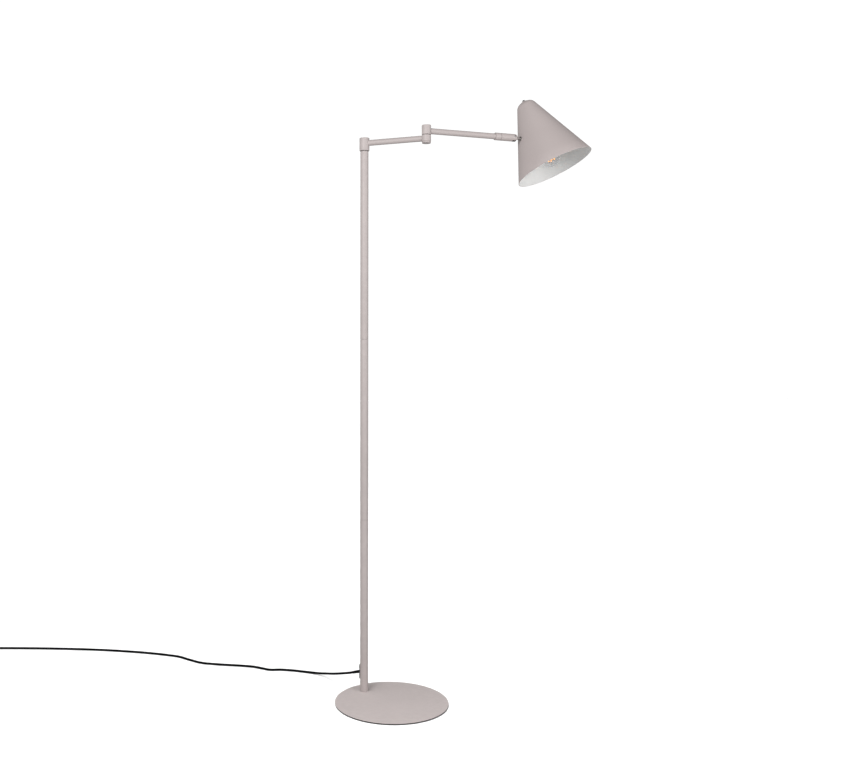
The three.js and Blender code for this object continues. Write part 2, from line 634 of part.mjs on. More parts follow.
function addHolder(shade) {
  const stemTop = SWITCH_BOTTOM - GAP;
  const stem = ring(3.5, 5, stemTop - HOLDER_STEM_LENGTH, stemTop, 0, SMALL_ROUND);
  piece(shade, 'holder_stem', stem, STEEL);
  const bottom = HOLDER_TOP - HOLDER_LENGTH;
  const cavity = CAP_RADIUS + 1.1;
  const holder = turned([
    [cavity, bottom],
    [HOLDER_RADIUS, bottom],
    [HOLDER_RADIUS, HOLDER_TOP - 10],
    ...arc([HOLDER_RADIUS - 8, HOLDER_TOP - 8], 8, 0, Math.PI / 2, 3),
    [0, HOLDER_TOP],
    [0, CAP_TOP + 1],
    [cavity, CAP_TOP + 1],
    [cavity, bottom],
  ], WIDE_ROUND);
  piece(shade, 'lamp_holder', holder, BLACK_PLASTIC);
  const holderRing = ring(HOLDER_RADIUS + GAP, HOLDER_RADIUS + 3, bottom + 6, bottom + 13, 0, WIDE_ROUND);
  piece(shade, 'holder_ring', holderRing, BLACK_PLASTIC);
}

// One side of the glass, from the bottom of the globe up to the neck.
function glassSide(inset) {
  const neck = 11;
  const blend = 14;
  const globe = BULB_RADIUS - inset;
  const leave = Math.acos((neck + blend) / (BULB_RADIUS + blend));
  const rise = (BULB_RADIUS + blend) * Math.sin(leave);
  const lower = arc([0, BULB_CENTRE], globe, -Math.PI / 2, leave, 8);
  const blendCentre = [neck + blend, BULB_CENTRE + rise];
  const upper = arc(blendCentre, blend + inset, Math.PI + leave, Math.PI, 3);
  return [...lower, ...upper.slice(1), [neck - inset, CAP_BOTTOM - GAP]];
}

function addBulb(shade) {
  const cap = turned([
    [0, CAP_BOTTOM],
    [CAP_RADIUS - 0.4, CAP_BOTTOM],
    [CAP_RADIUS, CAP_BOTTOM + 2],
    [CAP_RADIUS, CAP_TOP - 6],
    [8, CAP_TOP - 2],
    [4.6, CAP_TOP - 1.2],
    [4, CAP_TOP],
    [0, CAP_TOP],
  ], ROUND);
  piece(shade, 'bulb_cap', cap, STEEL);
  const inside = glassSide(0.8).reverse();
  piece(shade, 'bulb_glass', turned([...glassSide(0), ...inside], 22), GLASS);
  const stem = turned([
    [0, BULB_CENTRE - 3],
    [2, BULB_CENTRE - 2],
    [2, BULB_CENTRE + 14],
    [5.5, CAP_BOTTOM - 2],
    [5.5, CAP_BOTTOM - GAP],
    [0, CAP_BOTTOM - GAP],
  ], 12);
  piece(shade, 'bulb_stem', stem, GLASS);
  for (let i = 0; i < 4; i += 1) {
    const spot = frameAt(shade, [0, 0, BULB_CENTRE + 1], { z: degrees(45 + 90 * i) });
    const half = FILAMENT_LENGTH / 2;
    const filament = rod(FILAMENT_RADIUS, -half, half, 0, 10).rotateX(FILAMENT_TILT);
    filament.translate(FILAMENT_OFFSET, 0, 0);
    piece(spot, `bulb_filament_${i + 1}`, filament, AMBER);
  }
}

// ---- Cable -------------------------------------------------------------------------------

// The cable's centre line from the strain relief's tip to the coil, laid on the floor by hand.
const CABLE_ROUTE = [
  [-85, 78.1, 42.3],
  [-93.4, 82.6, 39.6],
  [-105.8, 92.2, 35.4],
  [-119, 111, 28.2],
  [-132.5, 134, 20],
  [-147, 160, 11.6],
  [-165, 180, 5.4],
  [-196, 196.5, 3],
  [-227, 206.8, 3],
  [-259, 213, 3],
  [-285, 212.5, 3],
  [-303, 222, 3],
  [-327, 234.5, 3],
  [-365, 243.7, 3],
  [-399, 249, 3],
  [-428, 255, 3],
  [-458, 263.5, 3],
  [-490, 285.5, 3],
  [-523, 311.5, 3],
  [-545, 321, 3],
  [-590, 336, 3],
  [-650, 351, 3],
  [-720, 364, 3],
  [-790, 372, 3],
  [-860, 377, 3],
  [-930, 380, 3],
  [-995, 381, 3],
  [-1064, 381, 3],
];

function roundSection(radius, sides) {
  const corners = [];
  for (let i = 0; i < sides; i += 1) {
    const angle = (2 * Math.PI * i) / sides;
    corners.push(new THREE.Vector2(radius * Math.cos(angle), radius * Math.sin(angle)));
  }
  return new THREE.Shape(corners);
}

function addCable(lamp) {
  const points = CABLE_ROUTE.map(([x, y, z]) => new THREE.Vector3(x, y, z));
  const extrudePath = new THREE.CatmullRomCurve3(points, false, 'centripetal');
  const section = roundSection(CABLE_RADIUS, 8);
  const cable = new THREE.ExtrudeGeometry(section, { steps: 72, extrudePath, bevelEnabled: false });
  piece(lamp, 'cable', cable, BLACK_RUBBER);

  const spot = frameAt(lamp, [COIL_X, COIL_Y, 0]);
  const thickness = 2 * CABLE_RADIUS;
  const innerRadius = COIL_RADIUS - thickness;
  const outerRadius = COIL_RADIUS + thickness;
  const coil = ring(innerRadius, outerRadius, GAP, GAP + 2 * thickness, 1, WIDE_ROUND);
  piece(spot, 'cable_coil', coil, BLACK_RUBBER);
}

function addPlug(lamp) {
  const middle = GAP + PLUG_HEIGHT / 2;
  const outerTurn = COIL_RADIUS + CABLE_RADIUS;
  const spot = frameAt(lamp, [COIL_X - outerTurn, COIL_Y + TAIL_START, 0], { z: Math.PI / 2 });
  const tail = alongX(rod(CABLE_RADIUS, 0, TAIL_LENGTH, 0, 10)).translate(0, 0, middle);
  piece(spot, 'cable_tail', tail, BLACK_RUBBER);
  const half = PLUG_WIDTH / 2;
  const shape = new THREE.Shape();
  shape.moveTo(0, -6);
  shape.lineTo(PLUG_LENGTH * 0.45, -half + 2);
  shape.lineTo(PLUG_LENGTH, -half);
  shape.lineTo(PLUG_LENGTH, half);
  shape.lineTo(PLUG_LENGTH * 0.45, half - 2);
  shape.lineTo(0, 6);
  const options = { depth: PLUG_HEIGHT, bevelEnabled: false };
  const body = new THREE.ExtrudeGeometry(shape, options);
  body.translate(TAIL_LENGTH + GAP, 0, GAP);
  piece(spot, 'plug_body', body, BLACK_PLASTIC);
  for (const [name, side] of [['a', -1], ['b', 1]]) {
    const pin = alongX(rod(PLUG_PIN_RADIUS, 0, PLUG_PIN_LENGTH, 0, 10));
    pin.translate(TAIL_LENGTH + PLUG_LENGTH + 2 * GAP, side * (PLUG_PIN_SPACING / 2), middle);
    piece(spot, `plug_pin_${name}`, pin, BRASS);
  }
}

// ---- The lamp -------------------------------------------------------------------------------

const lamp = new THREE.Group();
addBase(lamp);

const post = frameAt(lamp, [POST_X, POST_Y, 0]);
addFoot(post);
addPost(post);
addOutlet(post);
addPostPivot(post);

const firstArm = frameAt(post, [0, 0, FIRST_ARM_HEIGHT], { z: FIRST_ARM_BEARING });
addFirstArm(firstArm);
addElbow(frameAt(firstArm, [FIRST_ARM, 0, 0]));

const elbowTurn = { z: SECOND_ARM_BEARING - FIRST_ARM_BEARING };
const secondArm = frameAt(firstArm, [FIRST_ARM, 0, ARM_RISE], elbowTurn);
addSecondArm(secondArm);

const swivel = frameAt(secondArm, [0, 0, 0], { x: -HEAD_ROLL });
addSwivel(swivel);

const head = frameAt(swivel, [SECOND_ARM, 0, 0], { y: HEAD_TILT });
addKnuckle(head);

const shade = shadeFrameOn(head);
const stemHole = alongX(rod(STEM_RADIUS + GAP, 5, STEM_LENGTH + 10, 0, SMALL_ROUND));
head.updateMatrix();
shade.updateMatrix();
stemHole.applyMatrix4(shade.matrix.clone().invert());
addShade(shade, stemHole);
addSwitch(shade);
addHolder(shade);
addBulb(shade);

addCable(lamp);
addPlug(lamp);

export default lamp;
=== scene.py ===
"""Floor reading lamp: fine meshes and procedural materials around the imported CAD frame.

Sizes are in millimetres in each sub-part's own frame, and every mesh is turned to metres as it is made.
"""

import json
from math import acos, cos, hypot, pi, radians, sin, tan

import bmesh
import bpy
from mathutils import Matrix, Vector


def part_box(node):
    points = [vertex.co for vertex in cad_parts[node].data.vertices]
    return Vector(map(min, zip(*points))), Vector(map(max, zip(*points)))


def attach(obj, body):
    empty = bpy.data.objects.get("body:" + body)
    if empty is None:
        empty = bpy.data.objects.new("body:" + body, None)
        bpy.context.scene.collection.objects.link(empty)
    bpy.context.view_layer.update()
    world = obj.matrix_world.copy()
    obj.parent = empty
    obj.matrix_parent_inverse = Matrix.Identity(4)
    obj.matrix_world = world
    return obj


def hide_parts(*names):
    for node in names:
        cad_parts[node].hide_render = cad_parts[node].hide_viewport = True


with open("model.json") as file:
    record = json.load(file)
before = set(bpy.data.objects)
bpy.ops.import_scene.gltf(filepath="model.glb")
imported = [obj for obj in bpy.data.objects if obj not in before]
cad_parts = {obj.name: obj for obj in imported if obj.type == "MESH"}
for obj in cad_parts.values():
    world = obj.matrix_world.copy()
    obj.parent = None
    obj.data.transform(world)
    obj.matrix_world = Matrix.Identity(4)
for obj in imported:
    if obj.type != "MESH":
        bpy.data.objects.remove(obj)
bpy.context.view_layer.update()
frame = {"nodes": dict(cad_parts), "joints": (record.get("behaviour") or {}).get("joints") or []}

MM = 0.001
GAP = 0.3

# ---- Frames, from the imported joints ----


def joint(name):
    return next(j for j in frame["joints"] if j["name"] == name)


def joint_point(name):
    return Vector(joint(name)["pos_m"])


def joint_axis(name):
    return Vector(joint(name)["axis"]).normalized()


def axes(origin, x, y, z):
    """The frame with these axes at a point in metres."""
    turn = Matrix((x, y, z)).transposed().to_4x4()
    return Matrix.Translation(origin) @ turn


def shifted(base, x=0.0, y=0.0, z=0.0):
    """base, moved in its own axes by millimetres."""
    return base @ Matrix.Translation(Vector((x, y, z)) * MM)


UP = Vector((0, 0, 1))
LAMP = Matrix.Identity(4)
POST_JOINT = joint_point("arm1_swivel")
ELBOW_JOINT = joint_point("arm2_swivel")
HINGE = joint_point("head_tilt")

POST = Matrix.Translation((POST_JOINT.x, POST_JOINT.y, 0))
first_reach = Vector((ELBOW_JOINT.x - POST_JOINT.x, ELBOW_JOINT.y - POST_JOINT.y, 0))
first_x = first_reach.normalized()
FIRST_ARM = axes(POST_JOINT, first_x, UP.cross(first_x), UP)
second_x = joint_axis("head_swivel")
SECOND_ARM = axes(ELBOW_JOINT, second_x, UP.cross(second_x), UP)
hinge_y = joint_axis("head_tilt")
SWIVEL = axes(ELBOW_JOINT, second_x, hinge_y, second_x.cross(hinge_y))
shade_z = -joint_axis("button_press")

FIRST_LENGTH = first_reach.length / MM
SECOND_LENGTH = (HINGE - ELBOW_JOINT).length / MM
ARM_RISE = (ELBOW_JOINT.z - POST_JOINT.z) / MM

# ---- Sizes ----

PAD_INSET = 2
DARK_BAND_HEIGHT = 2.1
POST_RADIUS = 9
POST_WALL = 1.2
POST_BORE = POST_RADIUS - POST_WALL
ARM_RADIUS = 6.35
ARM_WALL = 1.3
ARM_BORE = ARM_RADIUS - ARM_WALL
BOLT_RADIUS = 3
BOLT_HEAD_RADIUS = 7
BOLT_HEAD_THICKNESS = 2
HEX_SOCKET_RADIUS = 2.4
HEX_SOCKET_DEPTH = 1.4

GROMMET_LENGTH = 35
GROMMET_WIDTH = 9
GROMMET_PROUD = 1.4
GROMMET_LIP = 1.6
OUTLET_BEARING = radians(152)
OUTLET_DROP = radians(16)
RELIEF_LENGTH = 22
RELIEF_ROOT = 0.9
RELIEF_TIP = 0.45
RELIEF_SHANK = 7
RELIEF_START = 1.5
CABLE_RADIUS = 2.7

POST_COLLAR_RADIUS = 11.05
POST_COLLAR_HEIGHT = 28.2
POST_COLLAR_DROP = 17
SPINDLE_RADIUS = 5
SPINDLE_HEAD = 2.4
CAP_THICKNESS = 2.2
LOWER_ELBOW_RADIUS = 10.1
LOWER_ELBOW_DEPTH = 7.6
LOWER_ELBOW_TOP = 6.6
UPPER_ELBOW_RADIUS = 10.1
UPPER_ELBOW_HEIGHT = 20.4
ELBOW_WASHER = 0.5
ELBOW_WASHER_RADIUS = 9
ELBOW_NUT_HEIGHT = 2.9
ELBOW_NUT_DEPTH = 1.7
SPANNER_HOLE_RADIUS = 1
SPANNER_HOLE_OFFSET = 5.2
SPANNER_HOLE_DEPTH = 0.7
ELBOW_SPINDLE_RADIUS = 4
SPIGOT_RADIUS = 4.75
ARM_OVERLAP = 3       # an arm's tube starts this far inside its collar, and is then cut to it
CUT_REACH = 20

SLEEVE_RADIUS = 8.3
SLEEVE_LENGTH = 40.7
SLEEVE_END = 7.6
SLEEVE_ROUNDING = 5.5
SLEEVE_START = SECOND_LENGTH + SLEEVE_END - SLEEVE_LENGTH
FERRULE_LENGTH = 13.3
FERRULE_START = SLEEVE_START - 2 * GAP - FERRULE_LENGTH
HEAD_SPINDLE_RADIUS = 3
SLEEVE_FLOOR = 18.7
POCKET_LENGTH = 6
SLOT_WIDTH = 6.6
SLOT_ROOF = 5
HINGE_PIN_RADIUS = 2
KNUCKLE_EYE_RADIUS = 4.4
STEM_RADIUS = 3
STEM_LENGTH = 17.69
STEM_NUT_RADIUS = 5.6
STEM_NUT_HEIGHT = 3.4
FLANGE_RADIUS = 4.8
FLANGE_THICKNESS = 2.2

SHADE_HALF_ANGLE = radians(23.1)
SHADE_RIM_RADIUS = 88.3
SHADE_TOP_RADIUS = 17.6
SHADE_CORNER = 16
SHADE_WALL = 1.2
STEM_DOWN_WALL = 86.01
SHADE_HEIGHT = (SHADE_RIM_RADIUS - SHADE_TOP_RADIUS) / tan(SHADE_HALF_ANGLE)

BUTTON_RADIUS = 2.8
BUTTON_TRAVEL = 1.6
BUTTON_TOP = 5.4
SWITCH_RADIUS = 9
SWITCH_LENGTH = 20
SWITCH_BUSH_WALL = 1.5
SWITCH_BUSH_TOP = 2.2
SWITCH_DEPTH = 9
SWITCH_BOTTOM = -SHADE_WALL - GAP - SWITCH_LENGTH
HOLDER_STEM_LENGTH = 36
HOLDER_RADIUS = 19.5
HOLDER_LENGTH = 54
HOLDER_TOP = SWITCH_BOTTOM - 2 * GAP - HOLDER_STEM_LENGTH
BULB_RADIUS = 22.5
BULB_LENGTH = 75
BULB_BOTTOM = 4.3 - SHADE_HEIGHT
BULB_CENTRE = BULB_BOTTOM + BULB_RADIUS
CAP_TOP = BULB_BOTTOM + BULB_LENGTH
CAP_BOTTOM = CAP_TOP - 24.5
CAP_RADIUS = 13.2
NECK_RADIUS = 11
FILAMENT_LENGTH = 28
FILAMENT_OFFSET = 6.5
FILAMENT_TILT = radians(14)

COIL_RADIUS = 32
PLUG_WIDTH = 35
PLUG_HEIGHT = 14
PLUG_LENGTH = 36
PLUG_PIN_SPACING = 18.6
PLUG_PIN_LENGTH = 19
PLUG_PIN_RADIUS = 2.4
TAIL_START = 25
TAIL_LENGTH = 24

# The head's frame is the shade's, turned back by the wall's slope about the hinge's axis.
SHADE_TURN = axes(HINGE, hinge_y.cross(shade_z), hinge_y, shade_z)
HEAD = SHADE_TURN @ Matrix.Rotation(SHADE_HALF_ANGLE, 4, "Y")
stem_radius_at = SHADE_TOP_RADIUS + STEM_DOWN_WALL * sin(SHADE_HALF_ANGLE)
stem_drop = STEM_DOWN_WALL * cos(SHADE_HALF_ANGLE)
shade_x = STEM_LENGTH + stem_radius_at * cos(SHADE_HALF_ANGLE) - stem_drop * sin(SHADE_HALF_ANGLE)
shade_rise = stem_radius_at * sin(SHADE_HALF_ANGLE) + stem_drop * cos(SHADE_HALF_ANGLE)
SHADE = shifted(HEAD, x=shade_x, z=shade_rise) @ Matrix.Rotation(-SHADE_HALF_ANGLE, 4, "Y")

# ---- Camera ----


def add_object(name, data):
    obj = bpy.data.objects.new(name, data)
    bpy.context.scene.collection.objects.link(obj)
    return obj


def add_camera():
    """The photo's viewpoint: its place, tilt, lens and shift, fitted to the photo's outlines."""
    data = bpy.data.cameras.new("camera")
    data.sensor_width = 36
    data.lens = 39.51
    data.shift_x = 0.0994
    data.clip_end = 60
    camera = add_object("camera", data)
    camera.location = POST @ Vector((-0.04443, -2.1204, 0.77074))
    camera.rotation_euler = (radians(90 - 2.027), 0, 0)
    bpy.context.scene.camera = camera


add_camera()

# ---- Materials ----


EDGE = "edge"              # 1 on a mesh's rounded edges
OWN_PLACE = "own_place"    # a point's place in its piece's own frame, in metres
TOOL_RING_PITCH = 0.0006   # between the fine rings on turned metal, in metres


def preset(node, **values):
    """Sets a node's inputs by name, with _ where the name has a space."""
    for key, value in values.items():
        node.inputs[key.replace("_", " ")].default_value = value


class Shader:
    """A Principled material with helpers for its node tree."""

    def __init__(self, name, colour, roughness, metallic=0.0, own_axes=False):
        self.material = bpy.data.materials.new(name)
        self.material.use_nodes = True
        self.tree = self.material.node_tree
        self.surface = self.tree.nodes["Principled BSDF"]
        self.colour = (*colour, 1)
        preset(self.surface, Metallic=metallic, Roughness=roughness, Base_Color=self.colour)
        self.place = self.node("ShaderNodeTexCoord").outputs["Object"]
        if own_axes:
            self.place = self.node("ShaderNodeAttribute", attribute_name=OWN_PLACE).outputs["Vector"]

    def node(self, kind, **settings):
        node = self.tree.nodes.new(kind)
        for key, value in settings.items():
            setattr(node, key, value)
        return node

    def link(self, source, target):
        self.tree.links.new(source, target)

    def grain(self, size, detail=2.0):
        """Noise whose lumps are about size metres across."""
        noise = self.node("ShaderNodeTexNoise")
        preset(noise, Scale=0.6 / size, Detail=detail)
        self.link(self.place, noise.inputs["Vector"])
        return noise.outputs["Fac"]

    def ranged(self, value, low, high, start=0.3, end=0.7):
        scale = self.node("ShaderNodeMapRange")
        preset(scale, From_Min=start, From_Max=end, To_Min=low, To_Max=high)
        self.link(value, scale.inputs["Value"])
        return scale.outputs["Result"]

    def mixed(self, factor, first, second):
        """first to second by factor; either may be a colour or a socket."""
        mix = self.node("ShaderNodeMix", data_type="RGBA")
        self.link(factor, mix.inputs["Factor"])
        for value, key in ((first, 6), (second, 7)):    # the colour sockets A and B
            if isinstance(value, tuple):
                mix.inputs[key].default_value = (*value[:3], 1)
            else:
                self.link(value, mix.inputs[key])
        return mix.outputs[2]

    def recolour(self, socket):
        self.colour_socket = socket
        self.link(socket, self.surface.inputs["Base Color"])
        return self

    def vary_colour(self, size, light=1.06, dark=0.94):
        """Soft clouds of lighter and darker colour, size metres across."""
        cloud = self.ranged(self.grain(size), 0, 1)
        shades = [tuple(min(1, c * k) for c in self.colour[:3]) for k in (dark, light)]
        return self.recolour(self.mixed(cloud, *shades))

    def speckle(self, size, amount):
        """Fine grains of colour over the clouds."""
        grains = self.ranged(self.grain(size, detail=1), 0, amount)
        paler = tuple(min(1, c * 1.35 + 0.02) for c in self.colour[:3])
        return self.recolour(self.mixed(grains, self.colour_socket, paler))

    def edge_wear(self, colour, amount=0.5):
        """Paler, smoother paint on the rounded edges, which carry the edge attribute."""
        edge = self.node("ShaderNodeAttribute", attribute_name=EDGE).outputs["Fac"]
        patches = self.ranged(self.grain(0.006, detail=4), 0, 1, 0.42, 0.62)
        worn = self.node("ShaderNodeMath", operation="MULTIPLY")
        self.link(edge, worn.inputs[0])
        self.link(patches, worn.inputs[1])
        factor = self.ranged(worn.outputs["Value"], 0, amount, 0, 1)
        return self.recolour(self.mixed(factor, self.colour_socket, colour))

    def vary_roughness(self, size, low, high):
        self.link(self.ranged(self.grain(size), low, high), self.surface.inputs["Roughness"])
        return self

    def bump(self, height, size, depth, strength):
        """height is a socket, or None for plain grain of that size; depth is in metres."""
        bump = self.node("ShaderNodeBump")
        preset(bump, Strength=strength, Distance=depth)
        self.link(height or self.grain(size, detail=3), bump.inputs["Height"])
        self.link(bump.outputs["Normal"], self.surface.inputs["Normal"])
        return self


def painted(name, colour, roughness):
    """Powder coat: a fine leathery grain, faint clouds of colour and rubbed edges."""
    shader = Shader(name, colour, roughness)
    shader.vary_colour(0.05, 1.015, 0.985).speckle(0.0005, 0.05)
    shader.edge_wear(tuple(min(1, c * 1.2 + 0.02) for c in colour), 0.2)
    shader.vary_roughness(0.004, roughness - 0.04, roughness + 0.05)
    shader.bump(None, 0.0006, 0.00001, 0.35)
    preset(shader.surface, Specular_IOR_Level=0.32)
    return shader.material


def moulded(name, colour, roughness):
    """Moulded plastic: spark-eroded grain and faint flow marks."""
    shader = Shader(name, colour, roughness)
    shader.vary_colour(0.02, 1.25, 0.8).speckle(0.0006, 0.25)
    shader.edge_wear(tuple(c + 0.05 for c in colour), 0.5)
    shader.vary_roughness(0.003, roughness - 0.08, roughness + 0.1)
    shader.bump(None, 0.0004, 0.00002, 0.5)
    return shader.material


def rubber(name, colour):
    """Matt rubber, a little greyer in patches."""
    shader = Shader(name, colour, 0.7)
    shader.vary_colour(0.012, 1.5, 0.75).speckle(0.0003, 0.05)
    shader.vary_roughness(0.002, 0.6, 0.8)
    preset(shader.surface, Specular_IOR_Level=0.12)
    shader.bump(None, 0.0003, 0.00002, 0.5)
    return shader.material


def pad_sheet(name, colour):
    """Foam rubber sheet with a pressed diamond texture."""
    shader = Shader(name, colour, 0.75)
    shader.vary_colour(0.02, 1.4, 0.8).speckle(0.0006, 0.4)
    shader.vary_roughness(0.003, 0.66, 0.84)
    cells = shader.node("ShaderNodeTexVoronoi", feature="F1", distance="MANHATTAN")
    preset(cells, Scale=550, Randomness=0.0)
    shader.link(shader.place, cells.inputs["Vector"])
    shader.bump(cells.outputs["Distance"], None, 0.0004, 0.8)
    return shader.material


def machined(name, colour, roughness, own_axes=True):
    """Turned metal: fine tool rings round the local Z axis, with smudges."""
    shader = Shader(name, colour, roughness, metallic=1.0, own_axes=own_axes)
    shader.vary_colour(0.008, 1.08, 0.86)
    shader.edge_wear(tuple(min(1, c * 1.2) for c in colour), 0.6)
    shader.vary_roughness(0.003, roughness - 0.1, roughness + 0.12)
    rings = shader.node("ShaderNodeTexWave", wave_type="BANDS", bands_direction="Z")
    preset(rings, Scale=1 / (TOOL_RING_PITCH * 6.28), Distortion=0.6, Detail=3)
    shader.link(shader.place, rings.inputs["Vector"])
    shader.bump(rings.outputs["Fac"], None, 0.00002, 0.35)
    return shader.material


def clear_glass(name, tint):
    """Thin blown glass, with faint waves in it."""
    shader = Shader(name, tint, 0.02)
    preset(shader.surface, Transmission_Weight=1.0, IOR=1.47)
    shader.vary_colour(0.03, 1.0, 0.985)
    shader.vary_roughness(0.02, 0.0, 0.03)
    shader.bump(None, 0.012, 0.00006, 0.2)
    return shader.material


def glowing_phosphor(name, colour):
    """The grainy yellow coating on a filament, with a painted glow in its own colour."""
    shader = Shader(name, colour, 0.55)
    shader.vary_colour(0.003, 1.2, 0.7).speckle(0.0003, 0.4)
    shader.vary_roughness(0.001, 0.45, 0.7)
    shader.bump(None, 0.0003, 0.00006, 0.6)
    # The emission is a painted glow on the coating.
    preset(shader.surface, Emission_Color=(*colour, 1), Emission_Strength=1.8)
    return shader.material


TAUPE = painted("taupe_paint", (0.50, 0.445, 0.435), 0.5)
SHADE_OUTSIDE = painted("shade_paint", (0.50, 0.44, 0.43), 0.48)
# A paler copy of the shade's paint for the rim: a painted highlight along the rim.
SHADE_RIM_HIGHLIGHT = painted("shade_rim_highlight", (0.62, 0.56, 0.55), 0.4)
SHADE_INSIDE = painted("shade_white", (0.86, 0.86, 0.85), 0.5)
BLACK = moulded("black_plastic", (0.018, 0.018, 0.02), 0.42)
BUTTON = moulded("button_plastic", (0.006, 0.006, 0.007), 0.6)
WASHER = moulded("washer_plastic", (0.16, 0.145, 0.14), 0.55)
GREY = moulded("grey_plastic", (0.05, 0.05, 0.053), 0.5)
CABLE = rubber("cable_rubber", (0.004, 0.004, 0.0045))
PAD = pad_sheet("pad_rubber", (0.02, 0.02, 0.021))
STEEL = machined("fitting_steel", (0.56, 0.56, 0.57), 0.34)
KNUCKLE = machined("knuckle_steel", (0.42, 0.40, 0.39), 0.38)
BRASS = machined("pin_brass", (0.74, 0.56, 0.27), 0.3)
FITTING = machined("inner_fitting_steel", (0.5, 0.5, 0.51), 0.4, own_axes=False)
NICKEL = machined("cap_nickel", (0.68, 0.66, 0.62), 0.28)
GLASS = clear_glass("clear_glass", (0.985, 0.99, 1.0))
KNUCKLE_WIRE = machined("support_wire", (0.22, 0.21, 0.2), 0.4, own_axes=False)
AMBER_GLOW = glowing_phosphor("filament_coating", (1.0, 0.40, 0.06))
# Dark paint for the lower band of the base plate's side, and painted shade inside the sleeve's slot.
SIDE_BAND_AND_SLOT_SHADE = moulded("side_band_and_slot_shade", (0.045, 0.04, 0.038), 0.55)

# ---- Meshes ----

FINE = 96
SHARP_ANGLE = radians(32)
BEVEL_ANGLE = radians(40)


def outline(*corners, closed=False, steps=5):
    """Profile points (radius, height, on_edge) from corners (radius, height[, fillet])."""
    points = []
    count = len(corners)
    for i, corner in enumerate(corners):
        here = Vector(corner[:2])
        fillet = corner[2] if len(corner) > 2 else 0
        ends = closed or 0 < i < count - 1
        if fillet <= 0 or not ends:
            points.append((here.x, here.y, 0.0))
            continue
        back = Vector(corners[i - 1][:2]) - here
        ahead = Vector(corners[(i + 1) % count][:2]) - here
        fillet = min(fillet, 0.49 * back.length, 0.49 * ahead.length)
        back.normalize()
        ahead.normalize()
        half = back.angle(ahead) / 2
        reach = min(fillet / tan(half), 0.98 * fillet * 3)
        radius = reach * tan(half)
        centre = here + (back + ahead).normalized() * (radius / sin(half))
        start = here + back * reach - centre
        end = here + ahead * reach - centre
        sweep = start.angle_signed(end, 0)
        for step in range(steps + 1):
            angle = -sweep * step / steps
            turned = Vector((start.x * cos(angle) - start.y * sin(angle),
                             start.x * sin(angle) + start.y * cos(angle)))
            spot = centre + turned
            points.append((max(spot.x, 0.0), spot.y, 1.0))
    return points


def arc(centre, radius, start, end, steps):
    """Corners along a round stretch."""
    angles = [start + (end - start) * i / steps for i in range(steps + 1)]
    return [(centre[0] + radius * cos(a), centre[1] + radius * sin(a)) for a in angles]


def new_object(name, bm, place, *materials):
    """An object of that mesh, in millimetres, standing in the frame place."""
    bmesh.ops.remove_doubles(bm, verts=bm.verts, dist=1e-5)
    bmesh.ops.recalc_face_normals(bm, faces=bm.faces)
    bmesh.ops.scale(bm, vec=(MM, MM, MM), verts=bm.verts)
    mesh = bpy.data.meshes.new(name)
    bm.to_mesh(mesh)
    bm.free()
    for material in materials:
        mesh.materials.append(material)
    return placed(name, mesh, place)


def placed(name, mesh, place):
    obj = add_object(name, mesh)
    obj.matrix_world = place
    smooth(obj)
    return obj


def smooth(obj):
    obj.data.polygons.foreach_set("use_smooth", [True] * len(obj.data.polygons))
    obj.data.set_sharp_from_angle(angle=SHARP_ANGLE)


def turned(name, points, place, *materials, segments=FINE, closed=False, shape=None):
    """A profile turned about Z. shape(radius, height, angle) may change the radius."""
    bm = bmesh.new()
    edge = bm.verts.layers.float.new(EDGE)
    rings = []
    for radius, height, on_edge in points:
        ring = []
        sides = 1 if radius < 1e-6 else segments
        for i in range(sides):
            angle = 2 * pi * i / segments
            r = shape(radius, height, angle) if shape and radius > 0 else radius
            vertex = bm.verts.new((r * cos(angle), r * sin(angle), height))
            vertex[edge] = on_edge
            ring.append(vertex)
        rings.append(ring)
    pairs = list(zip(rings, rings[1:]))
    if closed:
        pairs.append((rings[-1], rings[0]))
    for low, high in pairs:
        if len(low) == 1 and len(high) == 1:
            continue
        for i in range(segments):
            j = (i + 1) % segments
            corners = [low[i % len(low)], low[j % len(low)], high[j % len(high)], high[i % len(high)]]
            unique = [c for n, c in enumerate(corners) if c not in corners[:n]]
            bm.faces.new(unique)
    return new_object(name, bm, place, *materials)


def disc(name, radius, bottom, top, fillet, place, *materials, segments=FINE):
    points = outline((0, bottom), (radius, bottom, fillet), (radius, top, fillet), (0, top))
    return turned(name, points, place, *materials, segments=segments)


def tube(name, inner, outer, bottom, top, fillet, place, *materials):
    corners = [(inner, bottom, fillet), (outer, bottom, fillet), (outer, top, fillet), (inner, top, fillet)]
    return turned(name, outline(*corners, closed=True), place, *materials, closed=True)


def cylinder(radius, bottom, top, place, segments=FINE):
    """A plain round cutter."""
    points = outline((0, bottom), (radius, bottom), (radius, top), (0, top))
    return turned("cutter", points, place, segments=segments)


def prism(name, shape_points, bottom, top, place, *materials, bevel=0.0, rows=1):
    """A flat outline of (x, y) points raised along Z."""
    bm = bmesh.new()
    low = [bm.verts.new((x, y, bottom)) for x, y in shape_points]
    face = bm.faces.new(low)
    raised = bmesh.ops.extrude_face_region(bm, geom=[face])
    top_verts = [v for v in raised["geom"] if isinstance(v, bmesh.types.BMVert)]
    bmesh.ops.translate(bm, vec=(0, 0, top - bottom), verts=top_verts)
    obj = new_object(name, bm, place, *materials)
    if bevel:
        bevelled(obj, bevel, rows)
    return obj


def hexagon(radius):
    return [(radius * cos(radians(60 * i)), radius * sin(radians(60 * i))) for i in range(6)]


def along_x(place):
    """place, with its Z axis laid along its X axis."""
    return place @ Matrix.Rotation(pi / 2, 4, "Y")


def along_y(place):
    return place @ Matrix.Rotation(-pi / 2, 4, "X")


